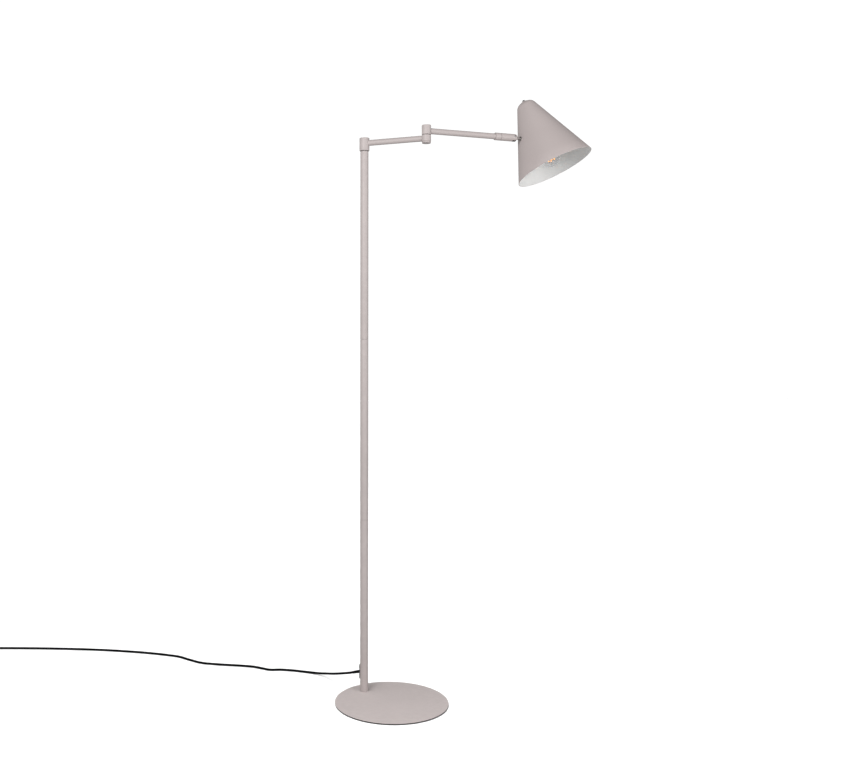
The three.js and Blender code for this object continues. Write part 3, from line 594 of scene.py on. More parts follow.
def final_mesh(obj):
    """A mesh of what obj shows."""
    bpy.context.view_layer.update()
    shown = obj.evaluated_get(bpy.context.evaluated_depsgraph_get())
    return bpy.data.meshes.new_from_object(shown)


def apply_modifiers(obj):
    mesh = final_mesh(obj)
    old = obj.data
    obj.modifiers.clear()
    obj.data = mesh
    mesh.name = obj.name
    bpy.data.meshes.remove(old)


def combined(obj, others, operation):
    for other in others:
        modifier = obj.modifiers.new("boolean", "BOOLEAN")
        modifier.operation = operation
        modifier.solver = "EXACT"
        modifier.object = other
        apply_modifiers(obj)
        mesh = other.data
        bpy.data.objects.remove(other)
        bpy.data.meshes.remove(mesh)
    smooth(obj)
    return obj


def cut(obj, *cutters):
    return combined(obj, cutters, "DIFFERENCE")


def joined(obj, *others):
    return combined(obj, others, "UNION")


def bevelled(obj, width, rows):
    modifier = obj.modifiers.new("bevel", "BEVEL")
    modifier.width = width * MM
    modifier.segments = rows
    modifier.limit_method = "ANGLE"
    modifier.angle_limit = BEVEL_ANGLE
    apply_modifiers(obj)
    smooth(obj)


def settle(obj):
    """Puts a piece's place into its mesh, and keeps its own coordinates for its materials."""
    mesh = obj.data
    own = mesh.attributes.new(OWN_PLACE, "FLOAT_VECTOR", "POINT")
    own.data.foreach_set("vector", [c for vertex in mesh.vertices for c in vertex.co])
    mesh.transform(obj.matrix_world)
    obj.matrix_world = Matrix.Identity(4)


def fit(obj, body, slot, *nodes):
    """obj rides on that body and stands for those CAD nodes; slot is not used."""
    if obj.type == "MESH":
        settle(obj)
    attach(obj, body)
    if nodes:
        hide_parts(*nodes)
    return obj


def finish_node(material, *nodes):
    """CAD nodes that stay: they take a better material."""
    for name in nodes:
        mesh = frame["nodes"][name].data
        mesh.materials.clear()
        mesh.materials.append(material)


def top_of(node):
    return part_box(node)[1][2] / MM


def bottom_of(node):
    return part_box(node)[0][2] / MM


# ---- Cord ----

# The cord's centre line from the strain relief's tip to the coil, in metres.
CORD_ROUTE = [
    (-0.085, 0.0781, 0.0423),
    (-0.0934, 0.0826, 0.0396),
    (-0.1058, 0.0922, 0.0354),
    (-0.119, 0.111, 0.0282),
    (-0.1325, 0.134, 0.020),
    (-0.147, 0.160, 0.0116),
    (-0.165, 0.180, 0.0054),
    (-0.196, 0.1965, 0.003),
    (-0.227, 0.2068, 0.003),
    (-0.259, 0.213, 0.003),
    (-0.285, 0.2125, 0.003),
    (-0.303, 0.222, 0.003),
    (-0.327, 0.2345, 0.003),
    (-0.365, 0.2437, 0.003),
    (-0.399, 0.249, 0.003),
    (-0.428, 0.255, 0.003),
    (-0.458, 0.2635, 0.003),
    (-0.490, 0.2855, 0.003),
    (-0.523, 0.3115, 0.003),
    (-0.545, 0.321, 0.003),
    (-0.590, 0.336, 0.003),
    (-0.650, 0.351, 0.003),
    (-0.720, 0.364, 0.003),
    (-0.790, 0.372, 0.003),
    (-0.860, 0.377, 0.003),
    (-0.930, 0.380, 0.003),
    (-0.995, 0.381, 0.003),
    (-1.064, 0.381, 0.003),
]


def coil_centre():
    low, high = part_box("cable_coil")
    return (Vector(low) + Vector(high)) / 2


def eased(value, start, end):
    """0 before start, 1 after end, smooth between."""
    t = min(1, max(0, (value - start) / (end - start)))
    return t * t * (3 - 2 * t)


def coil_points():
    """Three and a quarter turns, clockwise: outer then inner on the floor, and back out on top."""
    centre = coil_centre()
    outer = COIL_RADIUS + CABLE_RADIUS
    inner = COIL_RADIUS - CABLE_RADIUS
    floor_level = CABLE_RADIUS + GAP
    upper_level = floor_level + 2 * CABLE_RADIUS
    points = []
    per_turn = 24
    for i in range(int(3.25 * per_turn) + 1):
        wound = 360 * i / per_turn
        radius = outer + (inner - outer) * (eased(wound, 240, 360) - eased(wound, 900, 990))
        level = floor_level + (upper_level - floor_level) * eased(wound, 500, 620)
        angle = radians(-90 - wound)
        points.append((
            centre.x + radius * cos(angle) * MM,
            centre.y + radius * sin(angle) * MM,
            level * MM,
        ))
    return points


def tail_points():
    """From the coil to the plug."""
    centre = coil_centre()
    x = centre.x - (COIL_RADIUS + CABLE_RADIUS) * MM
    level = (GAP + PLUG_HEIGHT / 2) * MM
    steps = (TAIL_START - 10, TAIL_START, TAIL_START + 12, TAIL_START + TAIL_LENGTH)
    return [(x, centre.y + y * MM, level) for y in steps]


def round_curve(name, radius, rows, steps):
    """An empty curve with a round section."""
    curve = bpy.data.curves.new(name, "CURVE")
    curve.dimensions = "3D"
    curve.bevel_depth = radius * MM
    curve.bevel_resolution = rows
    curve.resolution_u = steps
    curve.use_fill_caps = True
    return curve


def add_cord(points):
    curve = round_curve("cord", CABLE_RADIUS, 5, 8)
    spline = curve.splines.new("BEZIER")
    spline.bezier_points.add(len(points) - 1)
    for i, (point, spot) in enumerate(zip(spline.bezier_points, points)):
        here = Vector(spot)
        back = Vector(points[max(i - 1, 0)])
        ahead = Vector(points[min(i + 1, len(points) - 1)])
        along = (ahead - back).normalized()
        point.co = here
        point.handle_left = here - along * (here - back).length / 3
        point.handle_right = here + along * (ahead - here).length / 3
    curve.materials.append(CABLE)
    return add_object("cord", curve)


cord = add_cord(CORD_ROUTE + coil_points() + tail_points())
fit(cord, "stand", "cable_rubber", "cable", "cable_coil", "cable_tail")

# ---- Plug ----


def add_plug():
    centre = coil_centre()
    x = centre.x - (COIL_RADIUS + CABLE_RADIUS) * MM
    spot = Matrix.Translation((x, centre.y + TAIL_START * MM, 0)) @ Matrix.Rotation(pi / 2, 4, "Z")
    half = PLUG_WIDTH / 2
    start = TAIL_LENGTH + GAP
    waist = start + PLUG_LENGTH * 0.45
    end = start + PLUG_LENGTH
    side = [(start, -6), (start + 8, -7.5), (waist, -half + 2.6), (waist + 7, -half + 0.4), (end, -half)]
    shape = side + [(x, -y) for x, y in reversed(side)]
    body = prism("plug", shape, GAP, GAP + PLUG_HEIGHT, spot, BLACK, bevel=3, rows=4)
    grooves = []
    for i in range(5):
        x = start + 10 + 3.2 * i
        for level in (GAP, GAP + PLUG_HEIGHT):
            slot_place = shifted(spot, x=x, z=level) @ Matrix.Rotation(pi / 2, 4, "X")
            grooves.append(cylinder(0.6, -7 - 0.8 * i, 7 + 0.8 * i, slot_place, segments=16))
    cut(body, *grooves)
    fit(body, "stand", "black_plastic", "plug_body")
    pins = []
    middle = GAP + PLUG_HEIGHT / 2
    for name, offset in (("a", -1), ("b", 1)):
        place = along_x(shifted(spot, x=end + GAP, y=offset * PLUG_PIN_SPACING / 2, z=middle))
        tip = PLUG_PIN_RADIUS - 0.25
        profile = outline(
            (0, 0), (PLUG_PIN_RADIUS, 0, 0.2), (PLUG_PIN_RADIUS, 10, 0.3), (tip, 10.3),
            (tip, PLUG_PIN_LENGTH, 1.8), (0, PLUG_PIN_LENGTH),
        )
        pin = turned(f"plug_contact_{name}", profile, place, BRASS, BLACK, segments=48)
        for face in pin.data.polygons:
            face.material_index = 1 if face.center.z < 10.1 * MM else 0
        fit(pin, "stand", "pin_brass", f"plug_pin_{name}")
        pins.append(pin)
    return body, pins


plug, plug_pins = add_plug()

# ---- Base ----


def add_base():
    radius = (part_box("base_plate")[1][0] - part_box("base_plate")[0][0]) / 2 / MM
    pad_top = top_of("base_pad")
    bottom = bottom_of("base_plate")
    top = top_of("base_plate")
    plate = turned("base", outline((0, bottom), (radius, bottom, 0.5), (radius, bottom + DARK_BAND_HEIGHT),
                                   (radius, top, 1.1), (0, top)), LAMP, TAUPE, SIDE_BAND_AND_SLOT_SHADE, segments=256)
    # Faces below DARK_BAND_HEIGHT take the dark material: the plate's side is dark towards its bottom edge.
    for face in plate.data.polygons:
        face.material_index = 1 if face.center.z < (bottom + DARK_BAND_HEIGHT) * MM else 0
    seat = cylinder(BOLT_HEAD_RADIUS + GAP, pad_top - 1, pad_top + BOLT_HEAD_THICKNESS + 2 * GAP, POST)
    hole = cylinder(BOLT_RADIUS + GAP, pad_top, top + 1, POST)
    fit(cut(plate, seat, hole), "stand", "taupe_paint", "base_plate")

    sheet = disc("base_pad_sheet", radius - PAD_INSET, 0, pad_top, 0.3, LAMP, PAD, segments=192)
    window = cylinder(BOLT_HEAD_RADIUS + 3, -1, pad_top + 1, POST)
    fit(cut(sheet, window), "stand", "pad_rubber", "base_pad")

    head_top = bottom + BOLT_HEAD_THICKNESS
    shank_top = top_of("foot_bolt")
    pitch = 1.0
    thread = [(BOLT_RADIUS, head_top), *[
        (BOLT_RADIUS - (0.35 if i % 2 else 0), top + 1 + i * pitch / 2)
        for i in range(int((shank_top - top - 2) / pitch * 2))
    ]]
    profile = outline((0, bottom), (BOLT_HEAD_RADIUS, bottom, 0.7), (BOLT_HEAD_RADIUS, head_top, 0.2),
                      *thread, (BOLT_RADIUS - 0.6, shank_top), (0, shank_top))
    bolt = turned("base_bolt", profile, POST, STEEL, segments=64)
    socket = prism("cutter", hexagon(HEX_SOCKET_RADIUS), bottom - 1, bottom + HEX_SOCKET_DEPTH, POST)
    fit(cut(bolt, socket), "stand", "fitting_steel", "foot_bolt")


# ---- Post ----


def stadium(width, length, steps=20):
    radius = width / 2
    reach = length / 2 - radius
    upper = [(p[0], p[1] + reach) for p in arc((0, 0), radius, 0, pi, steps)]
    lower = [(p[0], p[1] - reach) for p in arc((0, 0), radius, pi, 2 * pi, steps)]
    return upper + lower


def outlet_frame():
    low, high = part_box("cable_grommet")
    place = POST.copy()
    place.translation.z = (low[2] + high[2]) / 2
    return place @ Matrix.Rotation(OUTLET_BEARING, 4, "Z")


def outlet_bar(name, clearance, start, depth, *materials, bevel=0.0):
    """The outlet's round-ended bar, standing upright and running along the outlet's X."""
    upright = outlet_frame() @ Matrix(((0, 0, 1, 0), (1, 0, 0, 0), (0, 1, 0, 0), (0, 0, 0, 1)))
    shape = stadium(GROMMET_WIDTH + 2 * clearance, GROMMET_LENGTH + 2 * clearance)
    return prism(name, shape, start, start + depth, upright, *materials, bevel=bevel, rows=3)


def relief_profile(clearance, ribs):
    root = CABLE_RADIUS + RELIEF_ROOT + clearance
    tip = CABLE_RADIUS + RELIEF_TIP + clearance
    end = RELIEF_LENGTH + clearance
    corners = [(0, -clearance), (root, -clearance), (root, RELIEF_SHANK, 0.4)]
    for i in range(ribs):
        start = RELIEF_SHANK + (end - RELIEF_SHANK) * (i + 0.35) / (ribs + 0.3)
        stop = start + 0.9
        depth = 0.45 * (1 - 0.5 * i / ribs)
        for spot, inset in ((start, 0), (start + 0.2, depth), (stop - 0.2, depth), (stop, 0)):
            share = (spot - RELIEF_SHANK) / (end - RELIEF_SHANK)
            corners.append((root + (tip - root) * share - inset, spot))
    corners += [(tip, end, 0.3), (0, end)]
    return outline(*corners)


def add_outlet():
    inner = POST_BORE - GROMMET_LIP
    outer = POST_RADIUS + GROMMET_PROUD
    tilt = Matrix.Rotation(OUTLET_DROP, 4, "Y")
    relief_place = along_x(shifted(outlet_frame(), x=inner + RELIEF_START) @ tilt)
    bar = outlet_bar("cable_outlet", 0, inner, outer - inner, GREY, bevel=0.7)
    mouth = turned("cutter", relief_profile(GAP, 0), relief_place)
    fit(cut(bar, mouth), "stand", "black_plastic", "cable_grommet")
    relief = turned("cable_relief", relief_profile(0, 6), relief_place, CABLE, segments=64)
    fit(relief, "stand", "cable_rubber", "strain_relief")


def add_post():
    for part, name in (("lower", "post_lower"), ("middle", "post_middle"), ("upper", "post_upper")):
        node = f"post_tube_{part}"
        section = tube(name, POST_BORE, POST_RADIUS, bottom_of(node), top_of(node), 0.35, POST, TAUPE)
        if part == "lower":
            cut(section, outlet_bar("cutter", GAP, 0, 20))
        fit(section, "stand", "taupe_paint", node)
    node = "post_washer"
    washer = tube("post_washer_ring", SPINDLE_RADIUS + GAP, POST_RADIUS, bottom_of(node), top_of(node),
                  0.2, POST, WASHER)
    fit(washer, "stand", "black_plastic", node)
    finish_node(FITTING, "post_foot", "post_coupler_lower", "post_coupler_upper", "post_bush", "post_spindle")
    finish_node(CABLE, "post_wire")


# ---- Arms ----


def collar(name, radius, bottom, top, bore, seat, place):
    seat_bottom = top - CAP_THICKNESS - SPINDLE_HEAD - 3 * GAP
    profile = outline(
        (bore, bottom, 0.3), (radius, bottom, 0.9), (radius, top, 0.9), (seat, top, 0.25),
        (seat, seat_bottom), (bore, seat_bottom), closed=True,
    )
    return turned(name, profile, place, TAUPE, closed=True)


def cap(name, radius, bottom, top, place):
    """A cap with a shallow dish in its face."""
    profile = outline((0, bottom), (radius, bottom, 0.3), (radius, top, 0.4), (radius * 0.72, top, 0.3),
                      (radius * 0.6, top - 0.25, 0.4), (0, top - 0.25))
    return turned(name, profile, place, TAUPE, segments=72)


def arm_hole(start, end, place):
    return cylinder(SPIGOT_RADIUS + GAP, start, end, along_x(place), segments=48)


def add_hub(body, place, radius, bottom, height, spindle, pieces, nodes):
    """The collar and cap that an arm turns on, with the arm's hole in the collar's side."""
    top = bottom + height
    bore = spindle + GAP
    seat = spindle + SPINDLE_HEAD + GAP
    hub = collar(pieces[0], radius, bottom, top, bore, seat, place)
    cut(hub, arm_hole(bore + 0.2, radius + 2, place))
    fit(hub, body, "taupe_paint", nodes[0])
    lid = cap(pieces[1], seat - GAP, top - CAP_THICKNESS, top - GAP, place)
    fit(lid, body, "taupe_paint", nodes[1])


def add_first_arm():
    add_hub("first_arm", FIRST_ARM, POST_COLLAR_RADIUS, -POST_COLLAR_DROP, POST_COLLAR_HEIGHT,
            SPINDLE_RADIUS, ("arm1_post_collar", "arm1_post_cap"), ("arm1_collar", "arm1_collar_cap"))
    start = POST_COLLAR_RADIUS - ARM_OVERLAP
    end = FIRST_LENGTH - LOWER_ELBOW_RADIUS + ARM_OVERLAP
    bar = tube("arm1_bar", ARM_BORE, ARM_RADIUS, start, end, 0, along_x(FIRST_ARM), TAUPE)
    post_side = cylinder(POST_COLLAR_RADIUS + GAP, -CUT_REACH, CUT_REACH, FIRST_ARM)
    elbow_place = shifted(FIRST_ARM, x=FIRST_LENGTH)
    elbow_side = cylinder(LOWER_ELBOW_RADIUS + GAP, -CUT_REACH, CUT_REACH, elbow_place)
    fit(cut(bar, post_side, elbow_side), "first_arm", "taupe_paint", "arm1_tube")
    finish_node(FITTING, "arm1_spigot_post", "arm1_spigot_elbow")
    finish_node(CABLE, "arm1_wire")


def add_elbow():
    place = shifted(FIRST_ARM, x=FIRST_LENGTH)
    bore = ELBOW_SPINDLE_RADIUS + GAP
    bottom = -LOWER_ELBOW_DEPTH
    lower = tube("elbow_lower", bore, LOWER_ELBOW_RADIUS, bottom, LOWER_ELBOW_TOP, 0.8, place, TAUPE)
    cut(lower, arm_hole(-LOWER_ELBOW_RADIUS - 2, -bore - 0.2, place))
    fit(lower, "first_arm", "taupe_paint", "elbow_lower_collar")

    nut_top = bottom - GAP
    nut_bottom = nut_top - ELBOW_NUT_HEIGHT
    nut_radius = LOWER_ELBOW_RADIUS - 0.3
    recess = nut_top - ELBOW_NUT_DEPTH
    nut = turned("elbow_base_nut", outline(
        (0, nut_bottom), (nut_radius, nut_bottom, 0.8), (nut_radius, nut_top, 0.4),
        (bore, nut_top, 0.2), (bore, recess), (0, recess),
    ), place, TAUPE)
    holes = [
        cylinder(SPANNER_HOLE_RADIUS, nut_bottom - 1, nut_bottom + SPANNER_HOLE_DEPTH,
                 shifted(place, x=SPANNER_HOLE_OFFSET * side), segments=24)
        for side in (-1, 1)
    ]
    fit(cut(nut, *holes), "first_arm", "taupe_paint", "elbow_nut")

    washer_bottom = LOWER_ELBOW_TOP + GAP
    washer = tube("elbow_washer_ring", bore, ELBOW_WASHER_RADIUS, washer_bottom,
                  washer_bottom + ELBOW_WASHER, 0.12, place, WASHER)
    fit(washer, "first_arm", "black_plastic", "elbow_washer")
    finish_node(FITTING, "elbow_spindle")


def add_second_arm():
    bottom = LOWER_ELBOW_TOP + ELBOW_WASHER + 2 * GAP - ARM_RISE
    add_hub("second_arm", SECOND_ARM, UPPER_ELBOW_RADIUS, bottom, UPPER_ELBOW_HEIGHT,
            ELBOW_SPINDLE_RADIUS, ("elbow_upper", "elbow_top_cap"), ("elbow_upper_collar", "elbow_cap"))
    start = UPPER_ELBOW_RADIUS - ARM_OVERLAP
    end = SLEEVE_START - 4 * GAP
    bar = tube("arm2_bar", ARM_BORE, ARM_RADIUS, start, end, 0, along_x(SECOND_ARM), TAUPE)
    elbow_side = cylinder(UPPER_ELBOW_RADIUS + GAP, -CUT_REACH, CUT_REACH, SECOND_ARM)
    fit(cut(bar, elbow_side), "second_arm", "taupe_paint", "arm2_tube")
    ferrule = tube("arm2_end_ferrule", ARM_RADIUS + GAP, SLEEVE_RADIUS, FERRULE_START,
                   FERRULE_START + FERRULE_LENGTH, 0.7, along_x(SECOND_ARM), TAUPE)
    fit(ferrule, "second_arm", "taupe_paint", "arm2_ferrule")
    finish_node(FITTING, "arm2_spigot", "arm2_end_plug", "head_spindle")
    finish_node(CABLE, "arm2_wire")


# ---- Swivel and hinge ----


def box_cutter(x, y, z, place):
    """A block between corner pairs x, y and z."""
    shape = [(x[0], y[0]), (x[1], y[0]), (x[1], y[1]), (x[0], y[1])]
    return prism("cutter", shape, z[0], z[1], place)


def add_swivel():
    end = SECOND_LENGTH + SLEEVE_END
    pocket_start = SLEEVE_START + SLEEVE_FLOOR
    pocket_end = pocket_start + POCKET_LENGTH
    bore = HEAD_SPINDLE_RADIUS + GAP
    pocket = HEAD_SPINDLE_RADIUS + 2 + GAP
    rounding = arc((SLEEVE_RADIUS - SLEEVE_ROUNDING, end - SLEEVE_ROUNDING), SLEEVE_ROUNDING, 0, pi / 2, 12)
    blank = turned("head_sleeve", outline(
        (bore, SLEEVE_START, 0.3), (SLEEVE_RADIUS, SLEEVE_START, 0.7), *rounding, (0, end),
        (0, pocket_end), (pocket, pocket_end), (pocket, pocket_start), (bore, pocket_start), closed=True,
    ), along_x(SWIVEL), TAUPE, closed=True)
    slot_start = SECOND_LENGTH - KNUCKLE_EYE_RADIUS - 2 * GAP
    slot = box_cutter((slot_start, end + 10), (-SLOT_WIDTH / 2, SLOT_WIDTH / 2), (-15, SLOT_ROOF), SWIVEL)
    hinge = shifted(SWIVEL, x=SECOND_LENGTH)
    pin_hole = cylinder(HINGE_PIN_RADIUS + GAP, -12, 12, along_y(hinge), segments=48)
    sleeve = cut(blank, slot, pin_hole)
    # The faces inside the slot take the dark material: painted shade in the slot's hollow.
    sleeve.data.materials.append(SIDE_BAND_AND_SLOT_SHADE)
    for face in sleeve.data.polygons:
        spot = face.center / MM
        in_slot = abs(spot.y) < SLOT_WIDTH / 2 + 0.01 and spot.x < SLOT_ROOF + 0.01 and spot.z > slot_start
        on_wall = abs(face.normal.y) > 0.9 or abs(face.normal.x) > 0.9 and spot.x < SLOT_ROOF + 0.01
        face.material_index = 1 if in_slot and on_wall and hypot(spot.x, spot.y) < SLEEVE_RADIUS - 0.3 else 0
    fit(sleeve, "swivel", "taupe_paint", "swivel_sleeve")
    reach = SLEEVE_RADIUS - 0.7
    pin = disc("hinge_rivet", HINGE_PIN_RADIUS, -reach, reach, 0.4, along_y(hinge), STEEL, segments=48)
    fit(pin, "swivel", "fitting_steel", "hinge_pin")


def add_knuckle():
    half = SLOT_WIDTH / 2 - GAP
    nut_start = STEM_LENGTH + SHADE_WALL + 0.7
    nut_end = nut_start + STEM_NUT_HEIGHT
    eye = disc("head_knuckle", KNUCKLE_EYE_RADIUS, -half, half, 0.5, along_y(HEAD), KNUCKLE, segments=72)
    stem = disc("stem", STEM_RADIUS, 0, nut_end + 0.5, 0.4, along_x(HEAD), segments=64)
    joined(eye, stem)
    cut(eye, cylinder(HINGE_PIN_RADIUS + GAP, -10, 10, along_y(HEAD), segments=48))
    fit(eye, "head", "knuckle_steel", "knuckle")

    start = STEM_LENGTH - GAP - FLANGE_THICKNESS
    end = STEM_LENGTH - GAP
    groove = (start + end) / 2
    flange = turned("shade_stem_washer", outline(
        (STEM_RADIUS + GAP, start, 0.2), (FLANGE_RADIUS, start, 0.4), (FLANGE_RADIUS, groove - 0.25, 0.1),
        (FLANGE_RADIUS - 0.4, groove, 0.1), (FLANGE_RADIUS, groove + 0.25, 0.1), (FLANGE_RADIUS, end, 0.3),
        (STEM_RADIUS + GAP, end, 0.2), closed=True,
    ), along_x(HEAD), KNUCKLE, closed=True)
    fit(flange, "head", "knuckle_steel", "stem_washer")

    nut = prism("shade_stem_nut", hexagon(STEM_NUT_RADIUS), nut_start, nut_end, along_x(HEAD), STEEL,
                bevel=0.35, rows=3)
    cut(nut, cylinder(STEM_RADIUS + GAP, nut_start - 1, nut_end + 1, along_x(HEAD), segments=48))
    fit(nut, "head", "fitting_steel", "stem_nut")


# ---- Shade and lamp ----


def shade_side(inset):
    """The wall from the rim to the top, set in from the outer face."""
    turn = pi / 2 - SHADE_HALF_ANGLE
    centre = (SHADE_TOP_RADIUS - SHADE_CORNER * tan(turn / 2), -SHADE_CORNER)
    rim = SHADE_RIM_RADIUS - inset / cos(SHADE_HALF_ANGLE)
    round_part = arc(centre, SHADE_CORNER - inset, SHADE_HALF_ANGLE, pi / 2, 16)
    slope = tan(SHADE_HALF_ANGLE)
    rows = 6
    foot = round_part[0]
    wall = []
    for i in range(1, rows):
        height = -SHADE_HEIGHT + (foot[1] + SHADE_HEIGHT) * i / rows
        wall.append((rim - (height + SHADE_HEIGHT) * slope, height))
    return [(rim, -SHADE_HEIGHT, 0.45)] + wall + round_part


def add_shade():
    bore = BUTTON_RADIUS + GAP + SWITCH_BUSH_WALL + GAP
    outside = shade_side(0)
    inside = shade_side(SHADE_WALL)
    corners = [*outside, (bore, 0, 0.2), (bore, -SHADE_WALL, 0.2), *reversed(inside)]
    shell = turned("shade_shell", outline(*corners, closed=True, steps=4), SHADE,
                   SHADE_OUTSIDE, SHADE_INSIDE, segments=224, closed=True)
    shell.data.materials.append(SHADE_RIM_HIGHLIGHT)
    stem_hole = cylinder(STEM_RADIUS + GAP, 5, STEM_LENGTH + 10, along_x(HEAD), segments=48)
    cut(shell, stem_hole)
    slope = tan(SHADE_HALF_ANGLE)
    for face in shell.data.polygons:
        spot = face.center / MM
        out = Vector((spot.x, spot.y, 0)).normalized()
        wall_radius = SHADE_RIM_RADIUS - (spot.z + SHADE_HEIGHT) * slope
        faces_out = face.normal.dot(out) > 0.3 or face.normal.z > 0.2
        near_outer = hypot(spot.x, spot.y) > wall_radius - 0.7 or spot.z > -SHADE_WALL / 2
        face.material_index = 0 if faces_out and (near_outer or spot.z > -SHADE_CORNER) else 1
        # The rim's faces take the paler paint: a painted highlight.
        if spot.z < -SHADE_HEIGHT + 0.4:
            face.material_index = 2
    fit(shell, "head", "shade_paint", "shade")


def add_switch():
    bore = BUTTON_RADIUS + GAP
    bush = bore + SWITCH_BUSH_WALL
    top = -SHADE_WALL - GAP
    body = turned("switch_case", outline(
        (0, SWITCH_BOTTOM), (SWITCH_RADIUS, SWITCH_BOTTOM, 0.8), (SWITCH_RADIUS, SWITCH_BOTTOM + 6, 0.2),
        (SWITCH_RADIUS - 0.4, SWITCH_BOTTOM + 6.4, 0.1), (SWITCH_RADIUS, SWITCH_BOTTOM + 6.8, 0.2),
        (SWITCH_RADIUS, top, 0.6), (bush, top), (bush, SWITCH_BUSH_TOP, 0.3), (bore, SWITCH_BUSH_TOP, 0.3),
        (bore, -SWITCH_DEPTH), (0, -SWITCH_DEPTH),
    ), SHADE, BLACK, segments=72)
    fit(body, "head", "black_plastic", "switch_body")

    def knurled(radius, height, angle):
        if radius < 6.5:
            return radius
        return radius - 0.18 * (0.5 + 0.5 * cos(24 * angle))

    ring = turned("switch_ring", outline(
        (bush + GAP, GAP, 0.2), (6.9, GAP, 0.25), (6.9, 1.9, 0.45), (bush + GAP, 1.9, 0.3), closed=True,
    ), SHADE, SHADE_OUTSIDE, segments=192, closed=True, shape=knurled)
    fit(ring, "head", "taupe_paint", "switch_nut")

    bottom = BUTTON_TRAVEL + 2 * GAP - SWITCH_DEPTH
    dish = arc((0, BUTTON_TOP + 3.6), 4.0, radians(-62), radians(-90), 6)
    button = turned("switch_cap", outline(
        (0, bottom), (BUTTON_RADIUS, bottom, 0.3), (BUTTON_RADIUS, BUTTON_TOP - 0.2, 0.7),
        *dish,
    ), SHADE, BUTTON, segments=64)
    fit(button, "button", "button_plastic", "switch_button")


def add_holder():
    stem_top = SWITCH_BOTTOM - GAP
    stem_bottom = stem_top - HOLDER_STEM_LENGTH

    def threaded(radius, height, angle):
        return radius - (0.3 * (0.5 + 0.5 * cos(2 * pi * height + angle)) if radius > 4.5 else 0)

    rows = 4 * HOLDER_STEM_LENGTH
    outer = [(5, stem_bottom + HOLDER_STEM_LENGTH * i / rows) for i in range(rows + 1)]
    stem = turned("holder_tube", outline((3.5, stem_bottom), *outer, (3.5, stem_top), closed=True),
                  SHADE, STEEL, segments=48, closed=True, shape=threaded)
    fit(stem, "head", "fitting_steel", "holder_stem")

    bottom = HOLDER_TOP - HOLDER_LENGTH
    cavity = CAP_RADIUS + 1.1
    groove = HOLDER_RADIUS - 0.5
    rings = []
    for height in (bottom + 20, bottom + 24, bottom + 28):
        rings += [(HOLDER_RADIUS, height, 0.2), (groove, height + 0.4, 0.2),
                  (groove, height + 1.2, 0.2), (HOLDER_RADIUS, height + 1.6, 0.2)]
    dome = arc((HOLDER_RADIUS - 8, HOLDER_TOP - 8), 8, 0, pi / 2, 12)
    body = turned("lamp_socket", outline(
        (cavity, bottom, 0.4), (HOLDER_RADIUS, bottom, 0.8), *rings, *dome, (0, HOLDER_TOP),
        (0, CAP_TOP + 1), (cavity, CAP_TOP + 1), closed=True,
    ), SHADE, BLACK, closed=True)
    fit(body, "head", "black_plastic", "lamp_holder")

    def fluted(radius, height, angle):
        if radius < HOLDER_RADIUS + 2:
            return radius
        return radius - 0.5 * (0.5 + 0.5 * cos(30 * angle)) ** 2

    ring = turned("lamp_socket_ring", outline(
        (HOLDER_RADIUS + GAP, bottom + 6, 0.3), (HOLDER_RADIUS + 3, bottom + 6, 0.7),
        (HOLDER_RADIUS + 3, bottom + 13, 0.7), (HOLDER_RADIUS + GAP, bottom + 13, 0.3), closed=True,
    ), SHADE, BLACK, segments=240, closed=True, shape=fluted)
    fit(ring, "head", "black_plastic", "holder_ring")


def glass_side(inset):
    """One side of the glass, from the bottom of the globe up to the neck."""
    blend = 14
    leave = acos((NECK_RADIUS + blend) / (BULB_RADIUS + blend))
    rise = (BULB_RADIUS + blend) * sin(leave)
    globe = arc((0, BULB_CENTRE), BULB_RADIUS - inset, -pi / 2, leave, 36)
    blend_centre = (NECK_RADIUS + blend, BULB_CENTRE + rise)
    throat = arc(blend_centre, blend + inset, pi + leave, pi, 12)
    return [*globe, *throat[1:], (NECK_RADIUS - inset, CAP_BOTTOM - GAP)]


def add_bulb():
    pitch = 3.6

    def threaded(radius, height, angle):
        if radius < CAP_RADIUS - 0.5 or not CAP_BOTTOM + 2.5 < height < CAP_TOP - 6.5:
            return radius
        return radius - 0.55 * (0.5 + 0.5 * cos(2 * pi * height / pitch - angle))

    rows = 48
    start = CAP_BOTTOM + 2
    end = CAP_TOP - 6
    screw = [(CAP_RADIUS, start + (end - start) * i / rows) for i in range(rows + 1)]
    cap_body = turned("bulb_screw_cap", outline(
        (0, CAP_BOTTOM), (CAP_RADIUS - 0.4, CAP_BOTTOM), *screw, (8, CAP_TOP - 2, 0.5), (4.6, CAP_TOP - 1.2),
        (4, CAP_TOP, 0.6), (0, CAP_TOP),
    ), SHADE, NICKEL, segments=96, shape=threaded)
    fit(cap_body, "head", "cap_nickel", "bulb_cap")

    wall = 0.55
    corners = [*glass_side(0), *reversed(glass_side(wall))]
    globe = turned("bulb_globe", outline(*corners), SHADE, GLASS, segments=128)
    fit(globe, "head", "clear_glass", "bulb_glass")

    flare = arc((8, BULB_CENTRE + 16), 6, pi, radians(100), 8)
    post = turned("bulb_stem_glass", outline(
        (0, BULB_CENTRE - 3), (2, BULB_CENTRE - 3, 1.2), (2, BULB_CENTRE + 14), *flare[2:4],
        (5.2, CAP_BOTTOM - 2), (5.2, CAP_BOTTOM - GAP), (0, CAP_BOTTOM - GAP),
    ), SHADE, GLASS, segments=48)
    fit(post, "head", "clear_glass", "bulb_stem")


